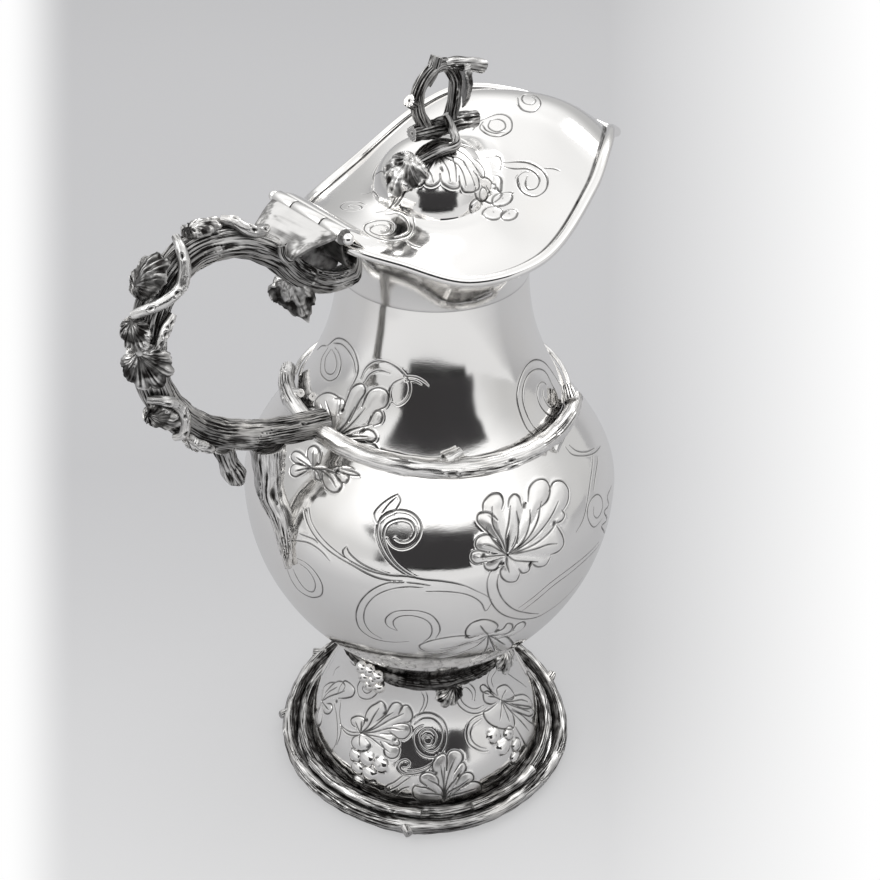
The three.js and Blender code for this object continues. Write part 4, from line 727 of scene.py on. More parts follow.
def bark(maker, points, radius, toward, pitch=0.5, around=0.3, closed=False, seed=0, marks=(), lobes=0.06,
         flat=1.0, depth=1.0, rough=0.5, lenticels=0.0, dots=0.0, laid=0.0, laid_from=0.35, shade=0.1,
         wrinkle=0.0, swelling=0.34, plain=False):
    """A branch. marks are (share along, angle, half length, half width) of almond-shaped scars, rough is how
    much of it is furrowed, laid how much painted shade darkens the side that lies on the sheet, shade how
    much painted shade darkens it all over, and wrinkle how deep the folds across it are."""
    line, length = even(bend(points, closed), pitch=pitch)
    if closed:
        line = line[:-1]
    n = len(line)
    share = np.arange(n) / (n if closed else n - 1)
    size = radius(share) if callable(radius) else np.full(n, float(radius))
    sides = max(12, int(round(2 * math.pi * size.max() / around / 2)) * 2)
    if callable(toward):
        toward = toward(line)
    along, side, third = frame_along(line, toward, closed)
    s, a = np.meshgrid(share * length, 2 * np.pi * np.arange(sides) / sides, indexing="ij")
    r = np.broadcast_to(size[:, None], s.shape)
    ax, ay = np.cos(a) * r, np.sin(a) * r
    key = seed * 7.3
    bow, ripple, patch, swell = meeting(lambda s: (
        noise(ax * 0.2 + key, ay * 0.2, s * 0.028),
        noise(ax * 0.5, ay * 0.5 + key, s * 0.09),
        noise(ax * 0.45 + key, ay * 0.45, s * 0.075 + 9),
        noise(ax * 0.17 + key, ay * 0.17, s * 0.06 + 5),
    ), s, length, closed)
    furrows = max(5, round(2 * math.pi * size.mean() / 1.15))
    phase = furrows * a + 5.5 * bow + 2.0 * ripple
    present = smooth(0.55 - 1.3 * rough, 0.75 - 0.7 * rough, patch)
    groove = smooth(-0.1, 0.9, np.cos(phase)) * present
    thread = smooth(0.2, 1.0, np.cos(2 * phase + 1.5 + 3 * ripple)) * (0.3 + 0.5 * present)
    fold = wrinkle * smooth(0.2, 1.0, np.cos(2.1 * s + 4 * ripple + 5 * bow)) * smooth(-0.5, 0.1, patch)
    height = 0.12 * present - 0.42 * groove - 0.1 * thread - 0.5 * fold
    height = depth * (height + swelling * swell * np.minimum(1, r / 4))
    dark = np.maximum(np.maximum(groove, 0.7 * thread), fold) + 0.4 * smooth(0, -0.7, swell)
    # Painted shade darkens the whole branch by shade.
    dark = shade + (1 - shade) * np.minimum(dark, 1)
    random = np.random.default_rng(seed + 5)
    scars = [(t * length, math.radians(turn), l, w, 1.0) for t, turn, l, w in marks]
    for _ in range(int(lenticels * length / 10)):
        scars.append((random.uniform(2, length - 2), random.uniform(0, 2 * np.pi), random.uniform(0.7, 1.3),
                      random.uniform(0.35, 0.6), 0.8))
    for _ in range(int(dots * length / 30)):
        s0, a0 = random.uniform(4, max(5, length - 4)), random.uniform(0, 2 * np.pi)
        for _ in range(11):
            at, turn = s0 + random.normal(0, 2.6), a0 + random.normal(0, 1.2) / size.mean()
            scars.append((at, turn, 0.36, 0.36, 0.55))
    flat_s, flat_a = s[:, 0], a[0]
    for s0, a0, half, wide, strength in scars:
        ds = flat_s - s0
        if closed:
            ds = (ds + length / 2) % length - length / 2
        rows = np.nonzero(np.abs(ds) < half * 1.9 + 0.4)[0]
        if not len(rows):
            continue
        da = ((flat_a - a0 + np.pi) % (2 * np.pi) - np.pi)[None, :] * size[rows][:, None]
        body = np.hypot(ds[rows][:, None] / half, da / wide)
        hole = smooth(1.2, 0.5, body)
        lip = smooth(2.4, 1.5, body) * smooth(0.95, 1.4, body)
        height[rows] = height[rows] * (1 - 0.8 * hole) + depth * strength * (0.2 * lip - 0.55 * hole)
        dark[rows] = np.maximum(dark[rows] * (1 - 0.6 * lip), hole)
    # Painted shade on the side of the branch that lies on the sheet.
    under = laid * smooth(laid_from, laid_from - 0.8, np.cos(a))
    dark = np.zeros(a.shape) if plain else np.maximum(dark, under)
    bulge = r * (1 + lobes * np.sin(3 * a + 2 * np.pi * round(length / 9) * s / length)) + height
    ring = (line[:, None] + side[:, None] * (bulge * np.cos(a))[..., None]
            + third[:, None] * (bulge * flat * np.sin(a))[..., None])
    grain = np.stack([ax + key, ay, GRAIN_STRETCH * s], -1)
    index = maker.add(ring, dark.ravel(), grain=grain).reshape(n, sides)
    maker.rings(index, loop=closed)
    if not closed:
        for end, sign in ((0, -1), (n - 1, 1)):
            cut_end(maker, line[end], along[end] * sign, ring[end], index[end], size[end], flip=sign < 0)


def cut_end(maker, centre, out, ring, index, size, flip):
    """The sawn end of a branch, with its growth rings."""
    rows = [index]
    for share, lift, dark in ((0.95, 0.10, 0.1), (0.86, 0.16, 0.0), (0.74, 0.02, 0.7), (0.62, 0.12, 0.1),
                              (0.48, 0.02, 0.6), (0.34, 0.12, 0.1), (0.2, -0.05, 0.6), (0.1, -0.2, 0.9)):
        rows.append(maker.add(centre + (ring - centre) * share + out * lift * size / 3, dark))
    middle = maker.add(centre - out * 0.1 * size, 0.95)[0]
    rows = np.array(rows)
    if flip:
        rows = rows[:, ::-1]
    maker.rings(rows)
    maker.fan(rows[-1], middle)


# Cast leaves: lobed, ridged and veined, with a back

# Reach of a leaf from the end of its stalk as a share of its size, by the angle from its tip
VINE_LEAF = (
    (0, 1.76), (7, 1.7), (13, 1.5), (20, 1.56), (30, 1.54), (38, 1.32), (47, 1.27), (58, 1.14), (66, 0.9),
    (76, 0.84), (90, 0.68), (104, 0.44), (122, 0.38), (150, 0.28), (180, 0.18),
)
HEART_LEAF = (
    (0, 1.8), (9, 1.62), (18, 1.42), (28, 1.36), (38, 1.22), (50, 1.2), (62, 1.08), (74, 1.0), (88, 0.82),
    (104, 0.6), (124, 0.42), (150, 0.3), (180, 0.2),
)
TORN_LEAF = (
    (0, 1.8), (10, 1.47), (20, 1.27), (32, 1.1), (45, 1.0), (60, 0.9), (75, 0.78), (90, 0.5), (108, 0.3),
    (140, 0.2), (180, 0.15),
)
BUD = (
    (0, 1.78), (12, 1.66), (22, 1.3), (32, 1.2), (50, 0.86), (70, 0.62), (90, 0.5), (120, 0.36), (150, 0.28),
    (180, 0.2),
)


def cast_leaf(maker, at, face, tip, size, wide=1.0, cup=0.16, edge=VINE_LEAF, thick=1.3, seed=0, crumple=1.0,
              shade=0.12, veined=1.0):
    """A leaf cast in silver: pleated between the veins that fan out from its stalk, with a ruffled edge, and
    bowed over what it lies on."""
    up = unit(face)
    along = unit(np.asarray(tip, float) - up * np.dot(tip, up))
    across = np.cross(up, along)
    count, steps = 240, 34
    q, a = np.meshgrid(np.linspace(0.03, 1, steps), np.pi * (2 * np.arange(count) / count - 1), indexing="ij")
    turn = np.degrees(np.abs(a))
    reach = np.interp(turn, *np.array(edge).T)
    veins, gaps = ((0, 40), (20,)) if edge is BUD else ((0, 26, 55, 88), (13, 39, 68))
    root = 0.8 * size
    wave = noise(np.cos(a) * 1.7 + seed * 3.1, np.sin(a) * 1.7, seed)
    teeth = np.abs((turn / 8 + 0.3 * wave) % 1 - 0.5) * 2 - 0.4
    r = size * q * (reach + 0.045 * teeth * smooth(0.75, 1, q) + 0.06 * wave * q)
    x, y = r * np.cos(a) - root, r * wide * np.sin(a)
    vein, gap = np.zeros(a.shape), np.zeros(a.shape)
    for at_turn in veins:
        off = np.radians(np.abs(turn - at_turn))
        vein = np.maximum(vein, smooth(0.42, 0.1, off * r) * smooth(1.02, 0.8, q))
    for at_turn in gaps:
        off = np.radians(np.abs(turn - at_turn))
        gap = np.maximum(gap, smooth(0.16, 0.0, off) * smooth(0.35, 0.95, q))
    rib = np.cos(np.radians(turn) * 34 + 1.5 * wave)
    rib_share = veined * smooth(0.25, 0.5, q) * smooth(1.0, 0.86, q)
    fold = noise(x * 0.34 + seed, y * 0.34, seed + 3)
    crease = noise(x * 0.95, y * 0.95, seed + 7.7)
    ruffle = smooth(0.72, 1, q) * noise(np.cos(a) * 3.1 + seed, np.sin(a) * 3.1, seed + 1.3)
    bow = cup * ((x ** 2 + y ** 2) / size) - 0.09 * size * crumple * fold * q
    pleat = 0.06 * size * (1 - gap) * smooth(0.1, 0.6, q)
    lift = (thick * (1 - 0.45 * smooth(0.85, 1, q)) + pleat - 0.3 * vein + 0.2 * rib * rib_share - 0.35 * gap
            + crumple * (0.22 * crease + 0.1 * size * ruffle))
    dark = np.maximum(np.maximum(0.8 * veined * vein, 0.85 * gap), 0.65 * smooth(0.1, -0.9, rib) * rib_share)
    # Darker in the hollows of the folds and creases, and painted shade darkens the whole leaf by shade.
    dark = dark + 0.75 * smooth(0.05, -0.5, fold) + 0.4 * smooth(-0.1, -0.7, crease) + shade
    dark = np.clip(dark * (1 - 0.5 * smooth(0.15, 0.6, ruffle)), 0, 1)
    plane = np.asarray(at) + x[..., None] * along + y[..., None] * across
    rim = plane[-1] + (plane[-1] - plane[-2]) * 0.35 + (thick * 0.2 - bow[-1])[..., None] * up
    upper = plane + (lift - bow)[..., None] * up
    # The rim, the back and the stalk are kept fairly dark.
    rows = [maker.add(upper, dark).reshape(steps, count), maker.add(rim, 0.5)[None]]
    lower = plane - (bow + 0.15)[..., None] * up
    rows.append(maker.add(lower[::-1][1::3], 0.75).reshape(-1, count))
    rows = np.vstack(rows)
    maker.rings(rows)
    stalk = np.asarray(at) - root * along
    maker.fan(rows[0], maker.add(stalk + up * (thick - 0.64 * cup * size), 0.7)[0], flip=True)
    maker.fan(rows[-1], maker.add(stalk - up * (0.15 + 0.64 * cup * size), 0.75)[0])


def ball(maker, centre, size, dot=None):
    """A ball, or a round berry with a fine pit at its dot."""
    segments = 28
    rings = segments // 2
    v, u = np.meshgrid(np.pi * (np.arange(1, rings) / rings), 2 * np.pi * np.arange(segments) / segments,
                       indexing="ij")
    away = np.stack([np.sin(v) * np.cos(u), np.sin(v) * np.sin(u), np.cos(v)], -1)
    height, dark = np.ones(v.shape), np.zeros(v.shape)
    if dot is not None:
        pit = smooth(0.975, 0.992, (away * unit(dot)).sum(-1))
        height, dark = height - 0.06 * pit, 0.8 * pit
    index = maker.add(np.asarray(centre) + away * size * height[..., None], dark).reshape(v.shape)
    maker.rings(index[::-1])
    maker.fan(index[0], maker.add(np.asarray(centre) + (0, 0, size))[0])
    maker.fan(index[-1], maker.add(np.asarray(centre) - (0, 0, size))[0], flip=True)


# Rim of the mouth, the lid's surface and the handle's line

# The rim from the hinge to the spout's tip, as forward, share of the half width, and up from the seam
RIM_STATIONS = (
    (-MOUTH_BACK, 0, RIM_BACK_UP),
    (-0.955 * MOUTH_BACK, 0.27, RIM_BACK_UP - 0.6),
    (-0.765 * MOUTH_BACK, 0.52, RIM_SIDE_UP + 2),
    (-0.425 * MOUTH_BACK, 0.84, RIM_SIDE_UP - 3.2),
    (0.047 * SPOUT_REACH, 1, RIM_SIDE_UP + 0.5),
    (0.337 * SPOUT_REACH, 0.905, RIM_SHOULDER_UP - 6.8),
    (0.5 * SPOUT_REACH, 0.74, RIM_SHOULDER_UP),
    (0.675 * SPOUT_REACH, 0.5, RIM_SHOULDER_UP - 1.2),
    (0.837 * SPOUT_REACH, 0.25, RIM_SHOULDER_UP - 7.2),
    (0.958 * SPOUT_REACH, 0.118, RIM_TIP_UP + 2),
    (SPOUT_REACH, 0, RIM_TIP_UP),
)
# The lid's ridge from the hinge to the spout, as forward and up from the seam
RIDGE = (
    (-0.935 * MOUTH_BACK, RIM_BACK_UP + 1.2),
    (-0.53 * MOUTH_BACK, RIM_SIDE_UP + LID_ARCH - 2.5),
    (0, RIM_SIDE_UP + LID_ARCH),
    (0.23 * SPOUT_REACH, RIM_SHOULDER_UP - 5),
    (0.465 * SPOUT_REACH, RIM_SHOULDER_UP + 5.2),
    (0.63 * SPOUT_REACH, RIM_SHOULDER_UP + 4.6),
    (0.79 * SPOUT_REACH, RIM_SHOULDER_UP - 2.6),
    (0.965 * SPOUT_REACH, RIM_TIP_UP + 1.4),
)
RIM_POINTS = [(x, -y * MOUTH_HALF_WIDTH, SEAM_Z + up) for x, y, up in RIM_STATIONS]
RIM_POINTS += [(x, y * MOUTH_HALF_WIDTH, SEAM_Z + up) for x, y, up in RIM_STATIONS[-2:0:-1]]
RIM_LINE = even(bend(RIM_POINTS, closed=True), count=640)[0][:-1]
RIM_ALONG = unit(np.roll(RIM_LINE, -1, 0) - np.roll(RIM_LINE, 1, 0))
RIM_OUT = unit(np.stack([RIM_ALONG[:, 1], -RIM_ALONG[:, 0], np.zeros(len(RIM_LINE))], 1))
LID_EDGE = RIM_LINE - RIM_OUT * (RIM_WIRE_R + SEAT) + (0, 0, 0.25)
NEAR_EDGE = LID_EDGE[: len(LID_EDGE) // 2 + 1]
RIDGE_LINE = bend([(x, SEAM_Z + up) for x, up in RIDGE])
DOME_LINE = np.vstack([
    bezier([(0, DOME_TOP_Z), (0.62 * DOME_R, DOME_TOP_Z), (DOME_R, DOME_TOP_Z - 0.38 * DOME_R),
            (DOME_R, DOME_TOP_Z - DOME_R)], 400),
    [(DOME_R, DOME_TOP_Z - DOME_R - 8)],
])
DOME_LENGTH = lengths(DOME_LINE)


def lid_height(x, y):
    """Height of the lid's sheet under the dome and out to its edge."""
    x = np.clip(x, NEAR_EDGE[:, 0].min() + 0.5, NEAR_EDGE[:, 0].max() - 0.3)
    half = np.maximum(np.interp(x, NEAR_EDGE[:, 0], -NEAR_EDGE[:, 1]), 0.6)
    edge = np.interp(x, NEAR_EDGE[:, 0], NEAR_EDGE[:, 2])
    ridge = np.interp(x, RIDGE_LINE[:, 0], RIDGE_LINE[:, 1])
    return ridge + (edge - ridge) * np.clip(np.abs(y) / half, 0, 1) ** 2


class LidChart:
    """Places on the lid by angle, and by length from the dome's top down its side and out over the lid."""

    def __init__(self):
        angle = np.degrees(np.arctan2(LID_EDGE[:, 1], LID_EDGE[:, 0]))
        order = np.argsort(angle)
        self.angle = np.r_[angle[order][-1] - 360, angle[order], angle[order][0] + 360]
        far = np.hypot(LID_EDGE[:, 0], LID_EDGE[:, 1])[order]
        high = LID_EDGE[:, 2][order]
        self.far = np.r_[far[-1], far, far[0]]
        self.high = np.r_[high[-1], high, high[0]]

    def reach(self, angle):
        """Radius of the lid's edge."""
        return np.interp((np.asarray(angle) + 180) % 360 - 180, self.angle, self.far)

    def foot(self, angle):
        """Length down the dome to the lid's sheet, and the height there."""
        a = np.radians(angle)
        z = lid_height(DOME_R * np.cos(a), DOME_R * np.sin(a))
        return np.interp(-z, -DOME_LINE[:, 1], DOME_LENGTH), z

    def length_to(self, q):
        return q

    def radius(self, q):
        on_dome = np.maximum(np.interp(q, DOME_LENGTH, DOME_LINE[:, 0]), 1.5)
        return np.where(q < 34, on_dome, np.maximum(DOME_R, q - 9))


LID = LidChart()

# The handle's line from the neck to the shoulder, as share of its reach, height, and share of its radius
HANDLE_STATIONS = (
    (0, SEAM_Z + 8.6, 0.67), (0.14, SEAM_Z + 9.0, 0.82), (0.285, SEAM_Z + 15.5, 0.89),
    (0.41, SEAM_Z + 26, 0.96), (0.585, SEAM_Z + HANDLE_RISE - 0.5, 1), (0.785, SEAM_Z + HANDLE_RISE, 1.02),
    (0.935, SEAM_Z + HANDLE_RISE - 10, 1.02), (1, SEAM_Z + HANDLE_RISE - 25.5, 1),
    (0.98, SHOULDER_Z + 42, 0.98), (0.84, SHOULDER_Z + 25, 0.96), (0.61, SHOULDER_Z + 13.5, 0.96),
    (0.37, SHOULDER_Z + 7.5, 0.93), (0.19, SHOULDER_Z + 4.5, 0.93),
)
HANDLE_START = NECK_R + 1
HANDLE_POINTS = [
    (-HANDLE_START - (HANDLE_REACH - HANDLE_START) * out, 0.0, z) for out, z, size in HANDLE_STATIONS]
HANDLE_STEPS = 1000
HANDLE_LINE = even(bend(HANDLE_POINTS), count=HANDLE_STEPS)[0]
HANDLE_ALONG = unit(np.gradient(HANDLE_LINE, axis=0))
handle_size = widths(*[size * HANDLE_R for out, z, size in HANDLE_STATIONS])


def on_handle(share, angle, lift):
    """A point over the handle, and the way out of the branch there and along it."""
    steps = np.arange(HANDLE_STEPS + 1)
    at = lambda line: np.array([np.interp(share * HANDLE_STEPS, steps, values) for values in line.T])
    centre, along = at(HANDLE_LINE), unit(at(HANDLE_ALONG))
    outside = np.array([along[2], 0, -along[0]])
    a = math.radians(angle)
    face = outside * math.cos(a) + np.array([0, -math.sin(a), 0])
    return centre + face * (handle_size(share) + lift), face, along


def from_handle(line):
    """The way from the handle's line out to each point."""
    gap = line[:, None] - HANDLE_LINE[None, ::10]
    nearest = np.argmin((gap ** 2).sum(-1), 1)
    return unit(gap[np.arange(len(line)), nearest])


def turn_about(v, axis, angle):
    return np.array(Matrix.Rotation(math.radians(angle), 3, Vector(axis)) @ Vector(v))


def ring_points(count, place):
    return np.array([place(360 * i / count) for i in range(count)])


def radial(line):
    return unit(line * (1, 1, 0))


# Materials

class Nodes:
    """Puts nodes into one tree, and gives the sockets that they put out."""

    def __init__(self, tree):
        tree.nodes.clear()
        self.tree = tree

    def add(self, kind, links=(), **values):
        made = self.tree.nodes.new("ShaderNode" + kind)
        for key, value in values.items():
            setattr(made, key, value)
        for socket, source in links:
            if isinstance(source, bpy.types.NodeSocket):
                self.tree.links.new(source, made.inputs[socket])
            else:
                made.inputs[socket].default_value = source
        return made

    def maths(self, operation, *values, clamp=False):
        return self.add("Math", enumerate(values), operation=operation, use_clamp=clamp).outputs[0]

    def fit(self, value, low, high, to_low=0.0, to_high=1.0, soft=False):
        """A value taken from one range to another."""
        ends = enumerate((value, low, high, to_low, to_high))
        kind = "SMOOTHSTEP" if soft else "LINEAR"
        return self.add("MapRange", ends, interpolation_type=kind).outputs[0]

    def along(self, place, axis):
        """How far a place lies along an axis."""
        both = [(0, place), (1, tuple(axis))]
        return self.add("VectorMath", both, operation="DOT_PRODUCT").outputs["Value"]

    def clouds(self, place, scale, detail, distortion=0.0):
        links = [("Vector", place), ("Scale", scale), ("Detail", detail), ("Distortion", distortion)]
        return self.add("TexNoise", links).outputs["Fac"]

    def painted(self, name, output="Fac"):
        """What is kept on the mesh's points under a name."""
        return self.add("Attribute", attribute_name=name).outputs[output]

    def blend(self, share, first, second):
        return self.add("Mix", [(0, share), (6, first), (7, second)], data_type="RGBA").outputs[2]


def group(name, inputs, outputs, build):
    """A shader node group, built once. Its outputs are in the order in which build gives their sockets."""
    found = bpy.data.node_groups.get(name)
    if found:
        return found
    tree = bpy.data.node_groups.new(name, "ShaderNodeTree")
    for label, value in inputs:
        kind = "NodeSocketColor" if isinstance(value, tuple) else "NodeSocketFloat"
        tree.interface.new_socket(label, in_out="INPUT", socket_type=kind).default_value = value
    for label in outputs:
        kind = "NodeSocketColor" if label == "Color" else "NodeSocketFloat"
        tree.interface.new_socket(label, in_out="OUTPUT", socket_type=kind)
    nodes = Nodes(tree)
    given = tree.nodes.new("NodeGroupInput").outputs
    out = tree.nodes.new("NodeGroupOutput").inputs
    for label, socket in zip(outputs, build(nodes, given)):
        tree.links.new(socket, out[label])
    return tree


def build_patina_and_shade(nodes, given):
    """Oxide left in recesses and painted shade, from the darkness kept on the mesh, broken up by a fine
    grain.
    """
    place = nodes.add("TexCoord").outputs["Object"]
    threads = nodes.clouds(nodes.painted("grain", "Vector"), 2.1, 2.0)
    groove = nodes.fit(threads, 0.5, 0.64, 0.0, given["Grain"])
    patchy = nodes.fit(nodes.clouds(place, 260.0, 4.0), 0.3, 0.7, 0.78, 1.1)
    # The mask darkens towards the oxide colour, for oxide in recesses and painted shade alike.
    deep = nodes.maths("MULTIPLY", nodes.maths("ADD", nodes.painted("oxide"), groove), patchy)
    mask = nodes.maths("MULTIPLY", deep, given["Amount"], clamp=True)
    veil = nodes.fit(nodes.clouds(place, 34.0, 3.0), 0.52, 0.75)
    film = nodes.maths("MULTIPLY", veil, given["Film"], clamp=True)
    clean = nodes.blend(film, given["Silver"], given["Warm film"])
    return nodes.blend(mask, clean, given["Oxide"]), mask, nodes.painted("satin"), groove


def build_polish(nodes, given):
    """What a cloth leaves: fine curved scratches and soft smears, as height and roughness."""
    place = nodes.add("TexCoord").outputs["Object"]
    stretched = nodes.add("Mapping", [("Vector", place), ("Scale", (90.0, 900.0, 1500.0))]).outputs[0]
    both = nodes.maths("ADD", nodes.clouds(stretched, 1.0, 2.0), nodes.clouds(place, 2200.0, 2.0))
    height = nodes.maths("MULTIPLY", both, given["Scratches"])
    smear = nodes.clouds(place, 22.0, 4.0, distortion=1.2)
    return height, nodes.fit(smear, 0.3, 0.75, given["Low"], given["High"])


# How much matt silver adds to the roughness, how high the bark's fine grain is against the scratches, and the
# tint of the warm film that polish leaves
SATIN_ROUGH = 0.24
GRAIN_HEIGHT = -9.0
FILM_TINT = (0.93, 0.89, 0.83)


def silver(name, look, tone, amount, film, low, high, scratches, oxide_rough, grain=0.0):
    """A silver finish for one kind of piece."""
    found = bpy.data.materials.get(name)
    if found:
        return found
    patina_and_shade = group("Oxide in recesses and painted shade", (
        ("Silver", (0.9, 0.89, 0.87, 1)), ("Oxide", (0.03, 0.027, 0.025, 1)),
        ("Warm film", (0.8, 0.76, 0.7, 1)), ("Amount", 1.0), ("Film", 0.3), ("Grain", 0.0),
    ), ("Color", "Mask", "Satin", "Groove"), build_patina_and_shade)
    polish = group("Polished by hand", (
        ("Scratches", 1.0), ("Low", 0.08), ("High", 0.16),
    ), ("Height", "Roughness"), build_polish)
    material = bpy.data.materials.new(name)
    material.use_nodes = True
    nodes = Nodes(material.node_tree)
    silver_tone = np.array(look.silver_colour) * tone
    patina_and_shade_out = nodes.add("Group", [
        ("Silver", (*silver_tone, 1)), ("Oxide", (*look.oxide_colour, 1)),
        ("Warm film", (*silver_tone * FILM_TINT, 1)), ("Amount", amount), ("Film", film), ("Grain", grain),
    ], node_tree=patina_and_shade).outputs
    rubbed = [("Scratches", scratches), ("Low", low), ("High", high)]
    rub = nodes.add("Group", rubbed, node_tree=polish).outputs
    satin = nodes.maths("MULTIPLY_ADD", patina_and_shade_out["Satin"], SATIN_ROUGH, rub["Roughness"])
    rough = nodes.add("Mix", [(0, patina_and_shade_out["Mask"]), (2, satin), (3, oxide_rough)]).outputs[0]
    carved = nodes.maths("MULTIPLY_ADD", patina_and_shade_out["Groove"], GRAIN_HEIGHT, rub["Height"])
    bump = nodes.add("Bump", [("Height", carved), ("Strength", 0.25), ("Distance", 0.00002)]).outputs[0]
    shader = nodes.add("BsdfPrincipled", [
        ("Base Color", patina_and_shade_out["Color"]), ("Metallic", 1.0), ("Roughness", rough), ("Normal", bump)])
    nodes.add("OutputMaterial", [("Surface", shader.outputs[0])])
    return material


def polished(look):
    return silver("Polished silver", look, 1, 0.92, 0.25, look.polish, look.polish + 0.07, 1.0, 0.42)


def twig_silver(look):
    return silver("Oxidised and shaded bark silver", look, 0.84, look.bark_oxide, 0.5, 0.2, 0.34, 3.0, 0.55, grain=0.85)


def rubbed_silver(look):
    return silver("Rubbed twig silver", look, 1, look.bark_oxide, 0.3, 0.13, 0.24, 2.0, 0.5, grain=0.42)


def leaf_silver(look):
    return silver("Chased leaf silver", look, 0.95, look.bark_oxide, 0.35, 0.15, 0.28, 2.0, 0.5)


# Sizes and colours that a user would change

class FlagonLook(bpy.types.PropertyGroup):
    silver_colour: FloatVectorProperty(
        name="Silver", description="Colour of clean polished silver", subtype="COLOR", size=3, min=0, max=1,
        default=(0.93, 0.92, 0.905))
    # The oxide colour also serves for painted shade, and the bark's amount darkens both.
    oxide_colour: FloatVectorProperty(
        name="Oxide", description="Colour of the oxide left in recesses", subtype="COLOR", size=3, min=0,
        max=1, default=(0.022, 0.02, 0.019))
    polish: FloatProperty(
        name="Polish", description="Roughness of the smooth sheet where it is brightest", subtype="FACTOR",
        min=0, max=1, default=0.06)
    bark_oxide: FloatProperty(
        name="Bark oxide", description="How much oxide the twigs and leaves keep", subtype="FACTOR", min=0,
        max=1.5, default=1.0)


class FlagonChasing(bpy.types.PropertyGroup):
    leaf_rise: FloatProperty(
        name="Leaf rise", description="Height of the chased leaves over the sheet", subtype="DISTANCE",
        unit="LENGTH", min=0, max=0.003, default=0.00065)
    cut_depth: FloatProperty(
        name="Cut depth", description="Depth of a graver's cut in the sheet", subtype="DISTANCE",
        unit="LENGTH", min=0, max=0.001, default=0.00018)
    planish: FloatProperty(
        name="Planishing", description="Waves left in the raised sheet by the hammer", subtype="DISTANCE",
        unit="LENGTH", min=0, max=0.001, default=0.00006)
    bark_depth: FloatProperty(
        name="Bark depth", description="Depth of the bark's grain as a share of the full depth",
        subtype="FACTOR", min=0, max=2, default=1.0)


class FlagonStage(bpy.types.PropertyGroup):
    floor_colour: FloatVectorProperty(
        name="Floor", description="Colour of the floor", subtype="COLOR", size=3, min=0, max=1,
        default=(0.39, 0.39, 0.4))
    tent: FloatProperty(
        name="Tent", description="Light of the white tent round the flagon", min=0, max=4, default=0.8)
    lamp: FloatProperty(
        name="Lamps", description="Power of the soft lamps", subtype="POWER", unit="POWER", min=0, max=200,
        default=6.0)
    focal_length: FloatProperty(
        name="Focal length", description="Lens of the camera on a 36 mm frame", subtype="DISTANCE_CAMERA",
        unit="CAMERA", min=10, max=300, default=53.2)


# The pieces

# Rows of cells up a turned shell are about this far apart
SHEET_PITCH = 0.95


def sheet_piece(maker, chasing, across, chase, hammering=1.0):
    """The chased outside of a turned shell, from its lower edge to its upper edge."""
    outline = chasing.outline
    rows = int(round(outline.length[-1] / SHEET_PITCH))
    i, j = np.meshgrid(np.arange(rows) + 0.5, np.arange(across) + 0.5, indexing="ij")
    y, x = i.ravel() / rows * outline.length[-1], j.ravel() / across * 360 - 180
    marked = chasing.marked(x, y, 0.75).reshape(rows, across)
    marked[0] = marked[-1] = False
    waves = chase.planish * MM * hammering

    def place(row, column):
        y, x = row / rows * outline.length[-1], column / across * 360 - 180
        height, dark, matt = chasing.relief(x, y, chase.leaf_rise * MM, chase.cut_depth * MM)
        r, z, out_r, out_z = outline.at_length(y)
        a = np.radians(x)
        px, py = r * np.cos(a), r * np.sin(a)
        edge = smooth(0, 4, y) * smooth(outline.length[-1], outline.length[-1] - 4, y)
        dents = noise(px * 0.07, py * 0.07, z * 0.07) + 0.4 * noise(px * 0.19, py * 0.19, z * 0.19)
        lift = height * edge + waves * edge * dents
        return polar(x, r + out_r * lift, z + out_z * lift), dark * edge, matt * edge

    return sheet_cells(maker, place, rows, across, marked)


def vessel(look, chase):
    maker = Maker()
    across = 470
    angle = np.arange(across) * 360 / across - 180
    chasing = Chasing(VESSEL_CUTS, VESSEL_LEAVES, (), VESSEL, turns=(0, 180))
    low, high = sheet_piece(maker, chasing, across, chase)
    base = [maker.add(polar(angle, r, VESSEL_Z)) for r in (2, 8, 16, 24, 31)]
    maker.rings(base + [low])
    maker.fan(base[0], maker.add((0, 0, VESSEL_Z))[0], flip=True)
    inside = []
    for s in np.linspace(VESSEL.length[-1], 3, 70):
        r, z, out_r, out_z = VESSEL.at_length(s)
        z = max(z - SHEET * out_z, VESSEL_Z + SHEET) if s < VESSEL.length[-1] else SEAM_Z
        inside.append(maker.add(polar(angle, r - SHEET * out_r, z)))
    for r in (28, 20, 10, 3):
        inside.append(maker.add(polar(angle, r, VESSEL_Z + SHEET)))
    maker.rings([high] + inside)
    maker.fan(inside[-1], maker.add((0, 0, VESSEL_Z + SHEET))[0])
    maker.piece("vessel", "body_shell", polished(look))


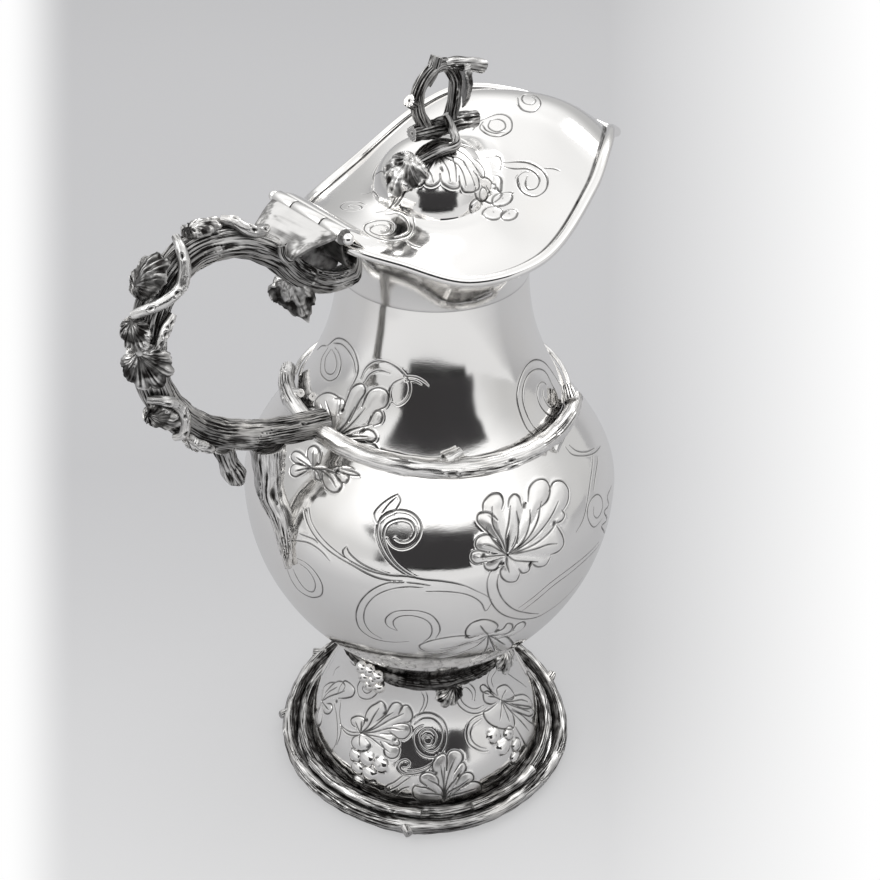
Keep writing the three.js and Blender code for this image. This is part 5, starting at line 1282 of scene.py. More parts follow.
def foot(look, chase):
    maker = Maker()
    across = 340
    angle = np.arange(across) * 360 / across - 180
    chasing = Chasing(FOOT_CUTS, FOOT_LEAVES, FOOT_GRAPES, FOOT, turns=(0, 180))
    low, high = sheet_piece(maker, chasing, across, chase, hammering=0.7)
    twig_seat = 56
    path = [(FOOT_BASE_R - SHEET, 0), (twig_seat - 1, 0), (FLANGE_R - EASE, 0), (FLANGE_R, EASE),
            (FLANGE_R, SHEET - EASE), (FLANGE_R - EASE, SHEET), (twig_seat, SHEET),
            (FOOT_BASE_R + 0.6, SHEET), (FOOT_BASE_R, SHEET + 0.6), (FOOT_BASE_R, 3.6)]
    # Painted shade darkens the top of the flange and the foot's lip, where the twigs lie on them.
    outer = [maker.add(polar(angle, r, z), 0.5 if r <= twig_seat and z > 0 else 0.0) for r, z in path]
    maker.rings(outer + [low])
    top = [maker.add(polar(angle, r, FOOT_H)) for r in (33, 26, 18, 9, 2)]
    maker.rings([high] + top)
    maker.fan(top[-1], maker.add((0, 0, FOOT_H))[0])
    inside = [maker.add(polar(angle, r, FOOT_H - SHEET)) for r in (2, 9, 18, 26, 31)]
    for s in np.linspace(FOOT.length[-1] - 2.2, 0, 26):
        r, z, out_r, out_z = FOOT.at_length(s)
        inside.append(maker.add(polar(angle, r - SHEET * out_r, z - SHEET * out_z)))
    inside.append(maker.add(polar(angle, FOOT_BASE_R - SHEET, 3)))
    maker.rings(inside + [outer[0]])
    maker.fan(inside[0], maker.add((0, 0, FOOT_H - SHEET))[0], flip=True)
    maker.piece("foot", "foot_shell", polished(look))
    maker = Maker()
    bore = COLLAR_CORE_R - 2 * SHEET
    angle = np.arange(200) * 360 / 200
    maker.rings([maker.add(polar(angle, r, z)) for r, z in (
        (bore, FOOT_H), (COLLAR_CORE_R - EASE, FOOT_H), (COLLAR_CORE_R, FOOT_H + EASE),
        (COLLAR_CORE_R, VESSEL_Z - EASE), (COLLAR_CORE_R - EASE, VESSEL_Z), (bore, VESSEL_Z))], loop=True)
    maker.piece("collar_ring", "stem_collar", polished(look))


def mouth(look, chase):
    maker = Maker()
    wire_clear, drop = RIM_WIRE_R + SEAT, LID_THICK / 2 + 0.7
    inset = math.sqrt(wire_clear ** 2 - drop ** 2) + 0.15

    def wall(neck_r, inset, rise, shares):
        top = RIM_LINE - RIM_OUT * inset - (0, 0, drop)
        angle = np.degrees(np.arctan2(top[:, 1], top[:, 0] - 5))
        neck = polar(angle, neck_r, SEAM_Z)
        pull = neck + (top - neck) * 0.25
        pull[:, 2] = SEAM_Z + (top[:, 2] - SEAM_Z) * 0.58 + rise
        return [neck * (1 - t) ** 2 + pull * 2 * t * (1 - t) + top * t * t for t in shares]

    rows = []
    for k, points in enumerate(wall(NECK_R, inset, 0, np.linspace(0, 1, 40))):
        rows.append(maker.add(points, 0.5 if k == 0 else 0.15 if k == 1 else 0.0))
    for points in wall(NECK_R - SHEET, inset + SHEET, 1.6, np.linspace(1, 0, 24)):
        rows.append(maker.add(points))
    maker.rings(rows, loop=True)
    maker.piece("mouth", "mouth_bowl", polished(look))
    maker = Maker()
    bark(maker, RIM_POINTS, RIM_WIRE_R, UP, pitch=0.9, around=0.42, closed=True, lobes=0, depth=0, plain=True)
    maker.piece("rim", "rim_wire", polished(look))


def lid(look, chase):
    maker = Maker()
    across, lid_rows, dome_rows = 460, 66, 42
    rows = lid_rows + dome_rows
    dome_leaf = ((121.9, 9), DOME_LOBES, DOME_VEINS, (121.9, 15))
    chasing = Chasing(LID_CUTS, [dome_leaf], LID_GRAPES, LID, grape_rise=0.25)
    dome_lip = 1.8

    def surface(row, column):
        angle = column / across * 360 - 180
        a = np.radians(angle)
        foot_length, foot_z = LID.foot(angle)
        join = np.interp(-(foot_z + dome_lip), -DOME_LINE[:, 1], DOME_LENGTH)
        on_lid = row < lid_rows
        share = np.clip(1 - row / lid_rows, 0, 1)
        r_lid = DOME_R + (LID.reach(angle) - DOME_R) * share
        swept = dome_lip * np.exp(-(r_lid - DOME_R) / 2.4) * smooth(1, 0.4, share)
        z_lid = lid_height(r_lid * np.cos(a), r_lid * np.sin(a)) + swept
        q = join * np.clip((rows - row) / dome_rows, 0.012, 1)
        r_dome, z_dome = (np.interp(q, DOME_LENGTH, DOME_LINE[:, k]) for k in (0, 1))
        r, z = np.where(on_lid, r_lid, r_dome), np.where(on_lid, z_lid, z_dome)
        length = np.where(on_lid, foot_length + r_lid - DOME_R, q)
        tilt = np.where(on_lid, 0.0, smooth(8, 28, q) * 1.35)
        return angle, length, r, z, np.sin(tilt), np.cos(tilt)

    i, j = np.meshgrid(np.arange(rows) + 0.5, np.arange(across) + 0.5, indexing="ij")
    angle, length = surface(i.ravel(), j.ravel())[:2]
    marked = chasing.marked(angle, length, 0.7).reshape(rows, across)
    marked[0] = marked[-1] = False

    def place(row, column):
        angle, length, r, z, out_r, out_z = surface(row, column)
        rise, cut = chase.leaf_rise * MM * 0.7, chase.cut_depth * MM * 0.9
        height, dark, matt = chasing.relief(angle, length, rise, cut)
        a = np.radians(angle)
        px, py = r * np.cos(a), r * np.sin(a)
        height = height + chase.planish * MM * 0.9 * noise(px * 0.08, py * 0.08, z * 0.03)
        # Painted shade: the lid's outermost rows are dark, as the gap against the rim wire.
        dark = np.maximum(dark, smooth(2.0, 1.2, row))
        return polar(angle, r + out_r * height, z + out_z * height), dark, matt

    edge, apex = sheet_cells(maker, place, rows, across, marked)
    maker.fan(apex, maker.add((0, 0, DOME_TOP_Z))[0])
    columns = np.arange(across, dtype=float)
    under = []
    for row in np.r_[np.linspace(rows - 1, lid_rows, 18), np.linspace(lid_rows - 2, 0.4, 24)]:
        angle, length, r, z, out_r, out_z = surface(np.full(across, row), columns)
        r, z = np.maximum(r - LID_THICK * out_r, 0.2), z - LID_THICK * np.maximum(out_z, 0.3)
        under.append(maker.add(polar(angle, r, z)))
    angle, length, r, z, out_r, out_z = surface(np.zeros(across), columns)
    # The lower rim of the lid's edge is a little darker.
    under.append(maker.add(polar(angle, r, z - LID_THICK), 0.3))
    maker.rings(under + [edge])
    maker.fan(under[0], maker.add((0, 0, DOME_TOP_Z - LID_THICK))[0], flip=True)
    maker.piece("lid", "lid_hood", polished(look), body="lid")


def barrel(maker, low, high, radius, bevel=0.35, seam=0.0):
    """A knuckle or pin on the hinge's line, with eased edges and oxidised seams at its ends."""
    segments = 40
    angle = np.arange(segments) * 2 * np.pi / segments
    start = [(0, radius * 0.4), (0, radius - bevel), (bevel * 0.4, radius - bevel * 0.3), (bevel, radius)]
    rows = []
    for y, r in [(low + step, r) for step, r in start] + [(high - step, r) for step, r in start[::-1]]:
        ring = np.stack([HINGE_X + r * np.sin(angle), np.full(segments, y), HINGE_Z + r * np.cos(angle)], 1)
        rows.append(maker.add(ring, seam if r < radius else 0.0))
    maker.rings(rows)
    maker.fan(rows[0], maker.add((HINGE_X, low, HINGE_Z), seam)[0], flip=True)
    maker.fan(rows[-1], maker.add((HINGE_X, high, HINGE_Z), seam)[0])


def slab(maker, line, halves, thick, free_edge_dark=0.0, painted_shadow=0.0):
    """A plate across the hinge with eased edges, bent along a line in side view. free_edge_dark is how dark
    its free edge is, painted_shadow how much painted shadow blackens it all over."""
    steps, points = 36, 88
    curve, length = even(bend([(x, 0, z) for x, z in line]), count=steps)
    half = np.interp(np.linspace(0, 1, steps + 1), np.linspace(0, 1, len(halves)), halves)
    along = unit(np.gradient(curve, axis=0))
    up = np.stack([-along[:, 2], np.zeros(steps + 1), along[:, 0]], 1)
    a = 2 * np.pi * np.arange(points) / points
    c, s = np.cos(a), np.sin(a)
    wide = np.sign(c) * np.abs(c) ** 0.3
    tall = np.sign(s) * np.abs(s) ** 0.45
    rows = []
    for k in range(steps + 1):
        end = 1 - 0.5 * smooth(1.2, 0, min(k, steps - k) * length / steps)
        ring = curve[k] + up[k] * (tall * thick / 2 * end)[:, None] + SIDE * (wide * half[k])[:, None]
        patchy = 0.3 * noise(ring[:, 1] * 0.6, k * 0.2) + 0.2 * noise(ring[:, 1] * 2.1, k * 0.6)
        # Darker towards the free end, next to the barrel and along the sides, broken up at random.
        dimming = smooth(0.4, 1.0, k / steps + patchy) + smooth(0.1, 0.03, k / steps)
        dark = np.clip(0.26 + dimming + smooth(0.62, 0.98, np.abs(wide) + patchy * 0.5 - 0.1), 0, 1)
        rows.append(maker.add(ring, np.maximum(free_edge_dark * dark, painted_shadow), 1.0 if free_edge_dark else 0.0))
    maker.rings(rows)
    for k, flip in ((0, True), (steps, False)):
        maker.fan(rows[k], maker.add(curve[k], max(free_edge_dark, painted_shadow))[0], flip=flip)


def rib(maker, outline, half):
    """A rib that stands along the branch, under the bracket, from its outline in side view, painted black all
    over as shadow.
    """
    line = even(bend([(x, 0, z) for x, z in outline], closed=True), count=120)[0][:-1]
    middle = line.mean(0)
    rows = []
    for y, share in ((-half, 0.9), (-half * 0.6, 1), (half * 0.6, 1), (half, 0.9)):
        rows.append(maker.add(middle + (line - middle) * share + (0, y, 0), 1.0))
    maker.rings(rows)
    maker.fan(rows[0], maker.add(middle - (0, half, 0), 1.0)[0], flip=True)
    maker.fan(rows[-1], maker.add(middle + (0, half, 0), 1.0)[0])


def hinge(look, chase):
    plate, dimming = 1.6, 0.9
    end = HINGE_X + 12
    middle = MIDDLE_KNUCKLE_HALF + RUN
    by_pin = lambda *points: [(HINGE_X + x, HINGE_Z + z) for x, z in points]
    maker = Maker()
    ridge = np.interp(end, RIDGE_LINE[:, 0], RIDGE_LINE[:, 1])
    slab(maker, by_pin((1.4, 1.6), (4.4, 0.4)) + [(end, ridge + SEAT + 1.1)],
         [BARREL_HALF - 1, BARREL_HALF - 1, BARREL_HALF - 3], plate)
    barrel(maker, -MIDDLE_KNUCKLE_HALF, MIDDLE_KNUCKLE_HALF, KNUCKLE_R, seam=dimming)
    maker.piece("hinge_leaf", "lid_hinge_leaf", polished(look), body="lid")
    maker = Maker()
    slab(maker, by_pin((-1, 0.6), (-BRACKET_REACH / 3, -0.6), (-2 * BRACKET_REACH / 3, -2.6),
                       (-BRACKET_REACH, -5.4)),
         [BARREL_HALF * share for share in (1, 0.9, 0.76, 0.66)], plate, free_edge_dark=dimming)
    # A web and a rib under the bracket, painted black all over as shadow.
    slab(maker, by_pin((0.8, -KNUCKLE_R - 0.7), (3.5, -10), (7.5, -15.5), (12.2, -20)),
         [BARREL_HALF - 2.5, 12.5, 9, 5], 1.0, painted_shadow=1)
    rib(maker, by_pin((-1, -3.6), (3, -7), (6, -12), (9.5, -19), (6, -20.2), (1, -18), (-5, -13.8),
                      (-9.5, -8.6), (-11, -5.6), (-6, -3.2)), 1.6)
    barrel(maker, -BARREL_HALF, -middle, KNUCKLE_R, seam=dimming)
    barrel(maker, middle, BARREL_HALF, KNUCKLE_R, seam=dimming)
    maker.piece("hinge_bracket_plate", "hinge_bracket", polished(look))
    maker = Maker()
    half = BARREL_HALF + RUN + PIN_BALL_R * 0.5
    barrel(maker, -half, half, PIN_R, bevel=0.2)
    for side in (-1, 1):
        ball(maker, (HINGE_X, side * (BARREL_HALF + RUN + PIN_BALL_R * 0.8), HINGE_Z), PIN_BALL_R)
    maker.piece("hinge_pin_balls", "hinge_pin", polished(look))


INNER_TWIG_CENTRE = FOOT_BASE_R + INNER_TWIG_R * BULGE + SEAT
OUTER_TWIG_CENTRE = INNER_TWIG_CENTRE + INNER_TWIG_R + OUTER_TWIG_R + SEAT


def foot_twig_z(radius):
    return SHEET + SEAT + radius * BULGE


def outer_twig_at(angle):
    return OUTER_TWIG_CENTRE + 0.4 * (1 + math.sin(math.radians(5 * angle)))


def foot_twigs(look, chase):
    depth = chase.bark_depth
    maker = Maker()
    ring = ring_points(20, lambda a: polar(a, outer_twig_at(a), foot_twig_z(OUTER_TWIG_R)))
    bark(maker, ring, OUTER_TWIG_R, radial, closed=True, seed=1, rough=0.6, lenticels=0.35, dots=0.8,
         depth=depth, laid=0.9, shade=0.2, swelling=0.5, lobes=0.03)
    for at, reach, size in ((141, 4.4, 2.2), (104, 5.0, 2.4), (-17, 4.4, 2.3), (-136, 5.6, 2.2)):
        start = polar(at - 3, OUTER_TWIG_CENTRE, OUTER_TWIG_R * 1.7)
        end = polar(at, OUTER_TWIG_CENTRE + reach, OUTER_TWIG_R * 1.9)
        bark(maker, [start, end], widths(size, size * 0.8), UP, seed=at + 200, depth=depth)
    maker.piece("foot_twig_outer", "foot_outer_twig", twig_silver(look))
    maker = Maker()
    ring = ring_points(12, lambda a: polar(a, INNER_TWIG_CENTRE, foot_twig_z(INNER_TWIG_R)))
    bark(maker, ring, INNER_TWIG_R, radial, closed=True, seed=2, rough=0.9, lenticels=0.3, depth=depth,
         laid=0.95, shade=0.3, swelling=0.5, lobes=0.04)
    maker.piece("foot_twig_inner", "foot_inner_twig", twig_silver(look))
    slope = OUTER_TWIG_R + FOOT_BRANCH_R + SEAT
    for side, start, end in (("left", 172, 228), ("right", 283, 250)):
        points = []
        for t in (0, 0.25, 0.5, 0.75, 1):
            angle = start + (end - start) * t
            half = (outer_twig_at(angle) - INNER_TWIG_CENTRE) / 2
            up = foot_twig_z(OUTER_TWIG_R) + math.sqrt(slope ** 2 - half ** 2)
            points.append(polar(angle, INNER_TWIG_CENTRE + half, up))
        maker = Maker()
        bark(maker, points, widths(FOOT_BRANCH_R, FOOT_BRANCH_R * 0.8), UP, seed=start, lenticels=0.4,
             depth=depth, laid=0.9)
        maker.piece("foot_side_twig_" + side, "foot_branch_" + side, twig_silver(look))


def collar(look, chase):
    depth = chase.bark_depth
    centre = COLLAR_CORE_R + COLLAR_TWIG_R * BULGE + SEAT + 0.3
    maker = Maker()
    ring = ring_points(12, lambda a: polar(a, centre, COLLAR_TWIG_Z))
    # Painted shade darkens the collar's twig heavily all over, as it lies under the vessel, and most on its
    # side against the core.
    bark(maker, ring, COLLAR_TWIG_R, radial, closed=True, seed=3, lobes=0.04, rough=0.7, lenticels=0.3,
         depth=depth * 1.2, laid=1, shade=0.8, wrinkle=1, swelling=0.6)
    maker.piece("collar_band", "collar_twig", twig_silver(look))
    out = centre + COLLAR_TWIG_R
    maker = Maker()
    for turn, up in ((-7, 2.5), (-1, 3.4), (5, 2.2), (-5, -1.6), (1.4, -0.8), (-1.2, -4.6), (5.6, -3.4)):
        a = -166 + turn
        ball(maker, polar(a, out + 1.2, COLLAR_TWIG_Z + up), 2.75, dot=polar(a, 1, 0.3))
    maker.piece("collar_berries", "collar_grapes", leaf_silver(look))
    for name, angle, lean, size in (("collar_leaf_front", -116, -4.5, 6), ("collar_leaf_side", -70, -1.5, 7)):
        a = math.radians(angle)
        maker = Maker()
        cast_leaf(maker, polar(angle, out + 0.5, COLLAR_TWIG_Z + lean), polar(angle, 1, 0.35),
                  (math.sin(a) * 0.5, -math.cos(a) * 0.5, -1), size, cup=0.2, seed=size, shade=0.05)
        maker.piece(name + "_cast", name, leaf_silver(look))


def shoulder(look, chase):
    """The twig round the shoulder: stout round the front between its sawn ends, and a thin vine behind."""
    depth = chase.bark_depth
    start, end, stout_r = 133, 308, SHOULDER_TWIG_R

    def round_vessel(start, end, lift):
        return [VESSEL.point(a, SHOULDER_Z + 1.3 * math.cos(2 * math.radians(a) + 0.4), lift)
                for a in np.linspace(start, end, 17)]

    lift = stout_r * BULGE + SEAT + 0.15
    scars = ((186, 25), (196, 30), (217, 35), (236, -5), (258, 20), (283, 40))
    maker = Maker()
    bark(maker, round_vessel(start, end, lift),
         widths(*[share * stout_r for share in (0.8, 0.95, 1, 1, 1, 1, 1, 0.95, 0.8)]), radial, seed=4,
         rough=0.25, lobes=0.02, swelling=0.2, lenticels=0.2, dots=1.0, depth=depth, laid=0.9,
         laid_from=-0.25, shade=0.0,
         marks=[((a - start) / (end - start), turn, 1.9, 0.8) for a, turn in scars])
    thin_r = 0.26 * stout_r
    bark(maker, round_vessel(306, 495, thin_r * BULGE + SEAT), thin_r, radial, seed=5, rough=0, lobes=0.02,
         depth=depth * 0.5, shade=0)
    for at, rise, size, reach in ((156, 1.3, 0.5, 1.3), (-55, 1.25, 0.68, 1.25), (-122, 0.95, 0.6, 0.95),
                                  (-78, -1.3, 0.62, 1.3)):
        rise, size, reach = rise * stout_r, size * stout_r, reach * stout_r
        side = math.copysign(1, rise)
        root = VESSEL.point(at - side * 3, SHOULDER_Z + side * 1.5, lift)
        bent = VESSEL.point(at + side * 3, SHOULDER_Z + rise * 1.1, size * BULGE + SEAT + 0.5)
        tip = bent + unit(bent - root) * max(reach - abs(rise), 0.1)
        bark(maker, [root, (root + bent) / 2, tip], widths(size * 1.2, size, size * 0.9), radial(root),
             seed=at + 300, lobes=0.03, depth=depth)
    maker.piece("shoulder_branch", "shoulder_twig", rubbed_silver(look))


# Vines on the handle as (share along, angle, lift), and their sizes
VINES = (
    ("top", [(0.3, -8, 1.5), (0.287, 14, 1.6), (0.275, 38, 1.6), (0.252, 40, 1.6), (0.236, 18, 1.6)],
     (0.75, 0.95, 1, 1, 0.75)),
    ("upper", [(0.362, -5, 1.6), (0.368, 30, 1.6), (0.382, 70, 1.6), (0.405, 88, 1.6), (0.432, 76, 1.6),
               (0.452, 46, 1.6), (0.468, 10, 1.6)], (0.7, 0.95, 1.05, 1.1, 1.05, 0.95, 0.7)),
    ("middle", [(0.452, 112, 1.4), (0.468, 103, 1.5), (0.49, 92, 1.5), (0.508, 82, 1.4)],
     (0.65, 0.85, 0.85, 0.65)),
    ("lower", [(0.592, 40, 1.5), (0.602, 80, 1.6), (0.625, 102, 1.6), (0.658, 94, 1.6), (0.68, 62, 1.6),
               (0.683, 30, 1.5)], (0.65, 0.9, 1, 1, 0.9, 0.65)),
)


def handle(look, chase):
    depth = chase.bark_depth
    maker = Maker()
    bark(maker, HANDLE_POINTS, handle_size, lambda line: np.stack([
        np.gradient(line, axis=0)[:, 2], np.zeros(len(line)), -np.gradient(line, axis=0)[:, 0]], 1),
        flat=0.94, seed=6, rough=0.75, lenticels=0.5, dots=2.6, depth=depth * 1.1, shade=0.24, lobes=0.02,
        marks=[(0.8, -90, 4.2, 1.3), (0.3, -84, 2.6, 0.9), (0.32, -30, 0.9, 0.8), (0.5, -116, 2.6, 0.8)])
    centre, face, along = on_handle(0.195, 62, 1.5)
    across = np.cross(face, along)
    curl = []
    for k in range(9):
        away = along * math.cos(0.8 * k) + across * math.sin(0.8 * k)
        curl.append(centre + face * (0.6 - 0.1 * k) + away * (3.6 - 0.32 * k))
    bark(maker, curl, widths(1.5, 1.3, 1.1, 0.8), face, seed=31, rough=0.3, lobes=0.02, depth=depth * 0.6,
         pitch=0.35, around=0.26, laid=0.9, laid_from=0.1)
    maker.piece("handle", "handle_branch", twig_silver(look))
    arm = lambda out, up: (-SPUR_OUT - out, 0.0, SHOULDER_Z + up)
    maker = Maker()
    bark(maker, [arm(0, 6), arm(0, -3), arm(0, -14), VESSEL.point(182.5, BELLY_Z + 14, 3.2),
                 VESSEL.point(186, BELLY_Z - 4, 1.6)],
         widths(SPUR_R * 1.4, SPUR_R * 1.15, SPUR_R, SPUR_R * 0.7, 1.2), OUTWARD, seed=7, rough=0.45,
         lenticels=0.4, dots=4, depth=depth, shade=0, lobes=0.02, marks=[(0.36, -70, 4.2, 1.1)])
    maker.piece("spur", "handle_spur", rubbed_silver(look))
    maker = Maker()
    bark(maker, [arm(17, 12), arm(15.5, 5.5), arm(11.7, -4.5)],
         widths(*[STUB_R * share for share in (1, 0.9, 0.86, 1.02, 0.98, 0.5)]), OUTWARD, seed=8, depth=depth,
         rough=0.6, shade=0.1, swelling=0.6, marks=[(0.62, -40, 2.4, 0.9)])
    maker.piece("stub", "handle_stub", twig_silver(look))
    buds = [(share, turn, 0.85, 0.6) for share, turn in ((0.22, 10), (0.5, -15), (0.55, 20), (0.8, 5))]
    for name, route, sizes in VINES:
        maker = Maker()
        bark(maker, [on_handle(*at)[0] for at in route], widths(*[size * VINE_R for size in sizes]),
             from_handle, seed=len(name) + 9, rough=0.3, lenticels=0.3, dots=1.5, depth=depth, around=0.28,
             pitch=0.4, laid=0.85, lobes=0.02, marks=buds)
        maker.piece("vine_" + name, "handle_vine_" + name, rubbed_silver(look))


def handle_leaves(look, chase):
    for name, share, angle, size, wide, turn, edge, shade in (
        ("handle_leaf_crest", 0.325, -10, 6.6, 0.9, 180, VINE_LEAF, 0.1),
        ("handle_leaf_top", 0.415, 0, 7.4, 0.95, 150, VINE_LEAF, 0.45),
        ("handle_leaf_upper", 0.497, 22, 6, 0.95, 20, VINE_LEAF, 0.15),
        ("handle_leaf_middle", 0.545, 62, 8.3, 0.95, 25, VINE_LEAF, 0.1),
        ("handle_leaf_lower", 0.637, 46, 6, 0.9, 40, VINE_LEAF, 0.25),
        ("handle_pod", 0.728, 48, 7, 0.55, 0, BUD, 0.05),
    ):
        at, face, along = on_handle(share, angle, 0.7)
        maker = Maker()
        cast_leaf(maker, at, face, turn_about(along, face, turn), size, wide, cup=0.2, edge=edge,
                  seed=int(size * 10), shade=shade)
        maker.piece(name + "_cast", name, leaf_silver(look))
    maker = Maker()
    cast_leaf(maker, HANDLE_LINE[110] + (-3, 0.2, -6.2), (-0.35, -1, -0.1), (0.35, 0, -1), 11, 0.95, cup=0.12,
              edge=TORN_LEAF, thick=1.8, seed=3, crumple=2.2, shade=0.35, veined=0.15)
    maker.piece("handle_leaf_hanging_cast", "handle_leaf_hanging", leaf_silver(look))


def on_dome(angle, share, lift):
    """A point over the dome, share of the way up to its top."""
    line = DOME_LINE[:-1][::-1]
    i = share * (len(line) - 1)
    k = min(int(i), len(line) - 2)
    at = line[k] + (line[k + 1] - line[k]) * (i - k)
    along = unit(line[k + 1] - line[k])
    return polar(angle, at[0] + along[1] * lift, at[1] - along[0] * lift)


def finial(look, chase):
    depth = chase.bark_depth
    base_z = DOME_TOP_Z + SEAT + FINIAL_TWIG_R * BULGE
    foot_z = base_z + FINIAL_TWIG_R
    loop = lambda across, up, y=0.0: (across * LOOP_HALF, y, foot_z + up * LOOP_H)
    maker = Maker()
    bark(maker, [(-10, 0, base_z + 0.6), (0, 0, base_z), (9, 0, base_z), (17, -0.5, base_z - 0.6)],
         widths(*[s * FINIAL_TWIG_R for s in (0.8, 1, 1, 0.87)]), UP, seed=20, rough=0.9, lenticels=0.5,
         depth=depth, laid=0.9, shade=0.5, wrinkle=0.4, marks=[(0.8, 60, 1.6, 1.0)])
    maker.piece("finial_twig", "finial_base_twig", twig_silver(look), body="lid")
    maker = Maker()
    for seed, points, sizes in (
        (21, [loop(-0.46, -0.15), loop(-1, 0.24), loop(-1, 0.5), loop(-0.42, 0.78), loop(0.42, 0.84),
              loop(1, 0.6), loop(1.03, 0.3), loop(0.79, -0.15)], (1.05, 1, 0.95, 0.9, 0.9, 0.95, 1, 1.1)),
        (22, [loop(-0.58, 0.6), loop(-0.21, 0.82), loop(0, 1)], (0.8, 0.95, 0.9)),
        (23, [loop(-1, 0.3), loop(-1.55, 0.44, -0.6)], (0.8, 0.95)),
        (24, [loop(0.34, 0.84), loop(1.18, 0.8), loop(2.57, 0.66, -0.4)], (0.85, 1, 1.05)),
    ):
        bark(maker, points, widths(*[s * LOOP_R * 1.1 for s in sizes]), SIDE, seed=seed, rough=0.8,
             lenticels=0.6, depth=depth, pitch=0.35, around=0.28, shade=0.4)
    maker.piece("finial_limbs", "finial_loop", twig_silver(look), body="lid")
    maker = Maker()
    cast_leaf(maker, loop(1.55, 0.44), (1, -0.25, 0.1), (0.1, 0, -1), 7.6, 0.8, cup=0.2, edge=HEART_LEAF,
              thick=1.6, seed=5, crumple=1.6, shade=0.5, veined=0.4)
    maker.piece("finial_leaf_cast", "finial_leaf", leaf_silver(look), body="lid")
    maker = Maker()
    bark(maker, [(1, -LOOP_R - TENDRIL_R, foot_z + 2.5),
                 (2.4, -FINIAL_TWIG_R - TENDRIL_R - 0.7, base_z + 0.8),
                 on_dome(-84, 0.76, TENDRIL_R + 0.8), on_dome(-122, 0.72, TENDRIL_R + 0.7),
                 on_dome(-150, 0.6, TENDRIL_R + 0.6)],
         widths(0.8 * TENDRIL_R, TENDRIL_R, TENDRIL_R, 0.8 * TENDRIL_R), UP, seed=25, rough=0.7,
         depth=depth * 0.8, pitch=0.35, around=0.26, laid=0.8, shade=0.3)
    maker.piece("finial_curl", "finial_tendril", twig_silver(look), body="lid")
    maker = Maker()
    at = on_dome(-168, 0.42, 1)
    face, tip = on_dome(-168, 0.42, 2) - at, on_dome(-172, 0.1, 0) - on_dome(-168, 0.42, 0)
    cast_leaf(maker, at, face, tip, 7.4, 1.1, cup=0.22, edge=HEART_LEAF, thick=1.8, seed=6, crumple=1.1,
              shade=0.05, veined=0.3)
    maker.piece("finial_leaf_low", "finial_hanging_leaf", leaf_silver(look), body="lid")


# The stage

# Turn of the flagon's front about its axis, and how far aside of it the tent's window and doorway stand
FRONT = -40.754
WINDOW_ASIDE = 0.18
CAMERA_AT = (-0.26426, -0.304, 0.44263)
CAMERA_TURN = (54.555, -1.107, FRONT)


def build_tent(world, stage):
    """A white tent round the flagon, brighter above, with a plain dark window in its front wall."""
    nodes = Nodes(world.node_tree)
    way = nodes.add("TexCoord").outputs["Generated"]
    turn = Matrix.Rotation(math.radians(FRONT), 3, "Z")
    front, right, up = (nodes.along(way, turn @ Vector(axis)) for axis in ((0, -1, 0), (1, 0, 0), (0, 0, 1)))
    depth = nodes.maths("MAXIMUM", front, 0.001)
    across, high = nodes.maths("DIVIDE", right, depth), nodes.maths("DIVIDE", up, depth)
    aside = nodes.maths("ABSOLUTE", nodes.maths("SUBTRACT", across, WINDOW_ASIDE))
    part = nodes.maths("DIVIDE", aside, nodes.fit(high, 0.3, 0.65, 0.72, 1.08))
    window = nodes.maths("GREATER_THAN", front, 0.0)
    for edge in (nodes.fit(part, 0.93, 1.07, 1.0, 0.0, soft=True), nodes.fit(high, -0.2, -0.12, soft=True),
                 nodes.fit(high, 0.54, 0.66, 1.0, 0.0, soft=True)):
        window = nodes.maths("MULTIPLY", window, edge)
    folds = nodes.fit(nodes.clouds(way, 1.6, 1.0), 0.3, 0.7, 0.8, 1.05)
    roof = nodes.fit(up, 0.15, 0.6, 0.0, 0.72, soft=True)
    facing = nodes.fit(front, 0.0, 0.9, 0.72, 1.05, soft=True)
    bright = nodes.maths("MULTIPLY", folds, nodes.maths("ADD", roof, facing))
    white = nodes.add("CombineColor", [(0, bright), (1, bright), (2, bright)]).outputs[0]
    colour = nodes.blend(window, white, (0.05, 0.048, 0.05, 1))
    shade = nodes.add("Background", [("Color", colour), ("Strength", stage.tent)])
    nodes.add("OutputWorld", [("Surface", shade.outputs[0])])


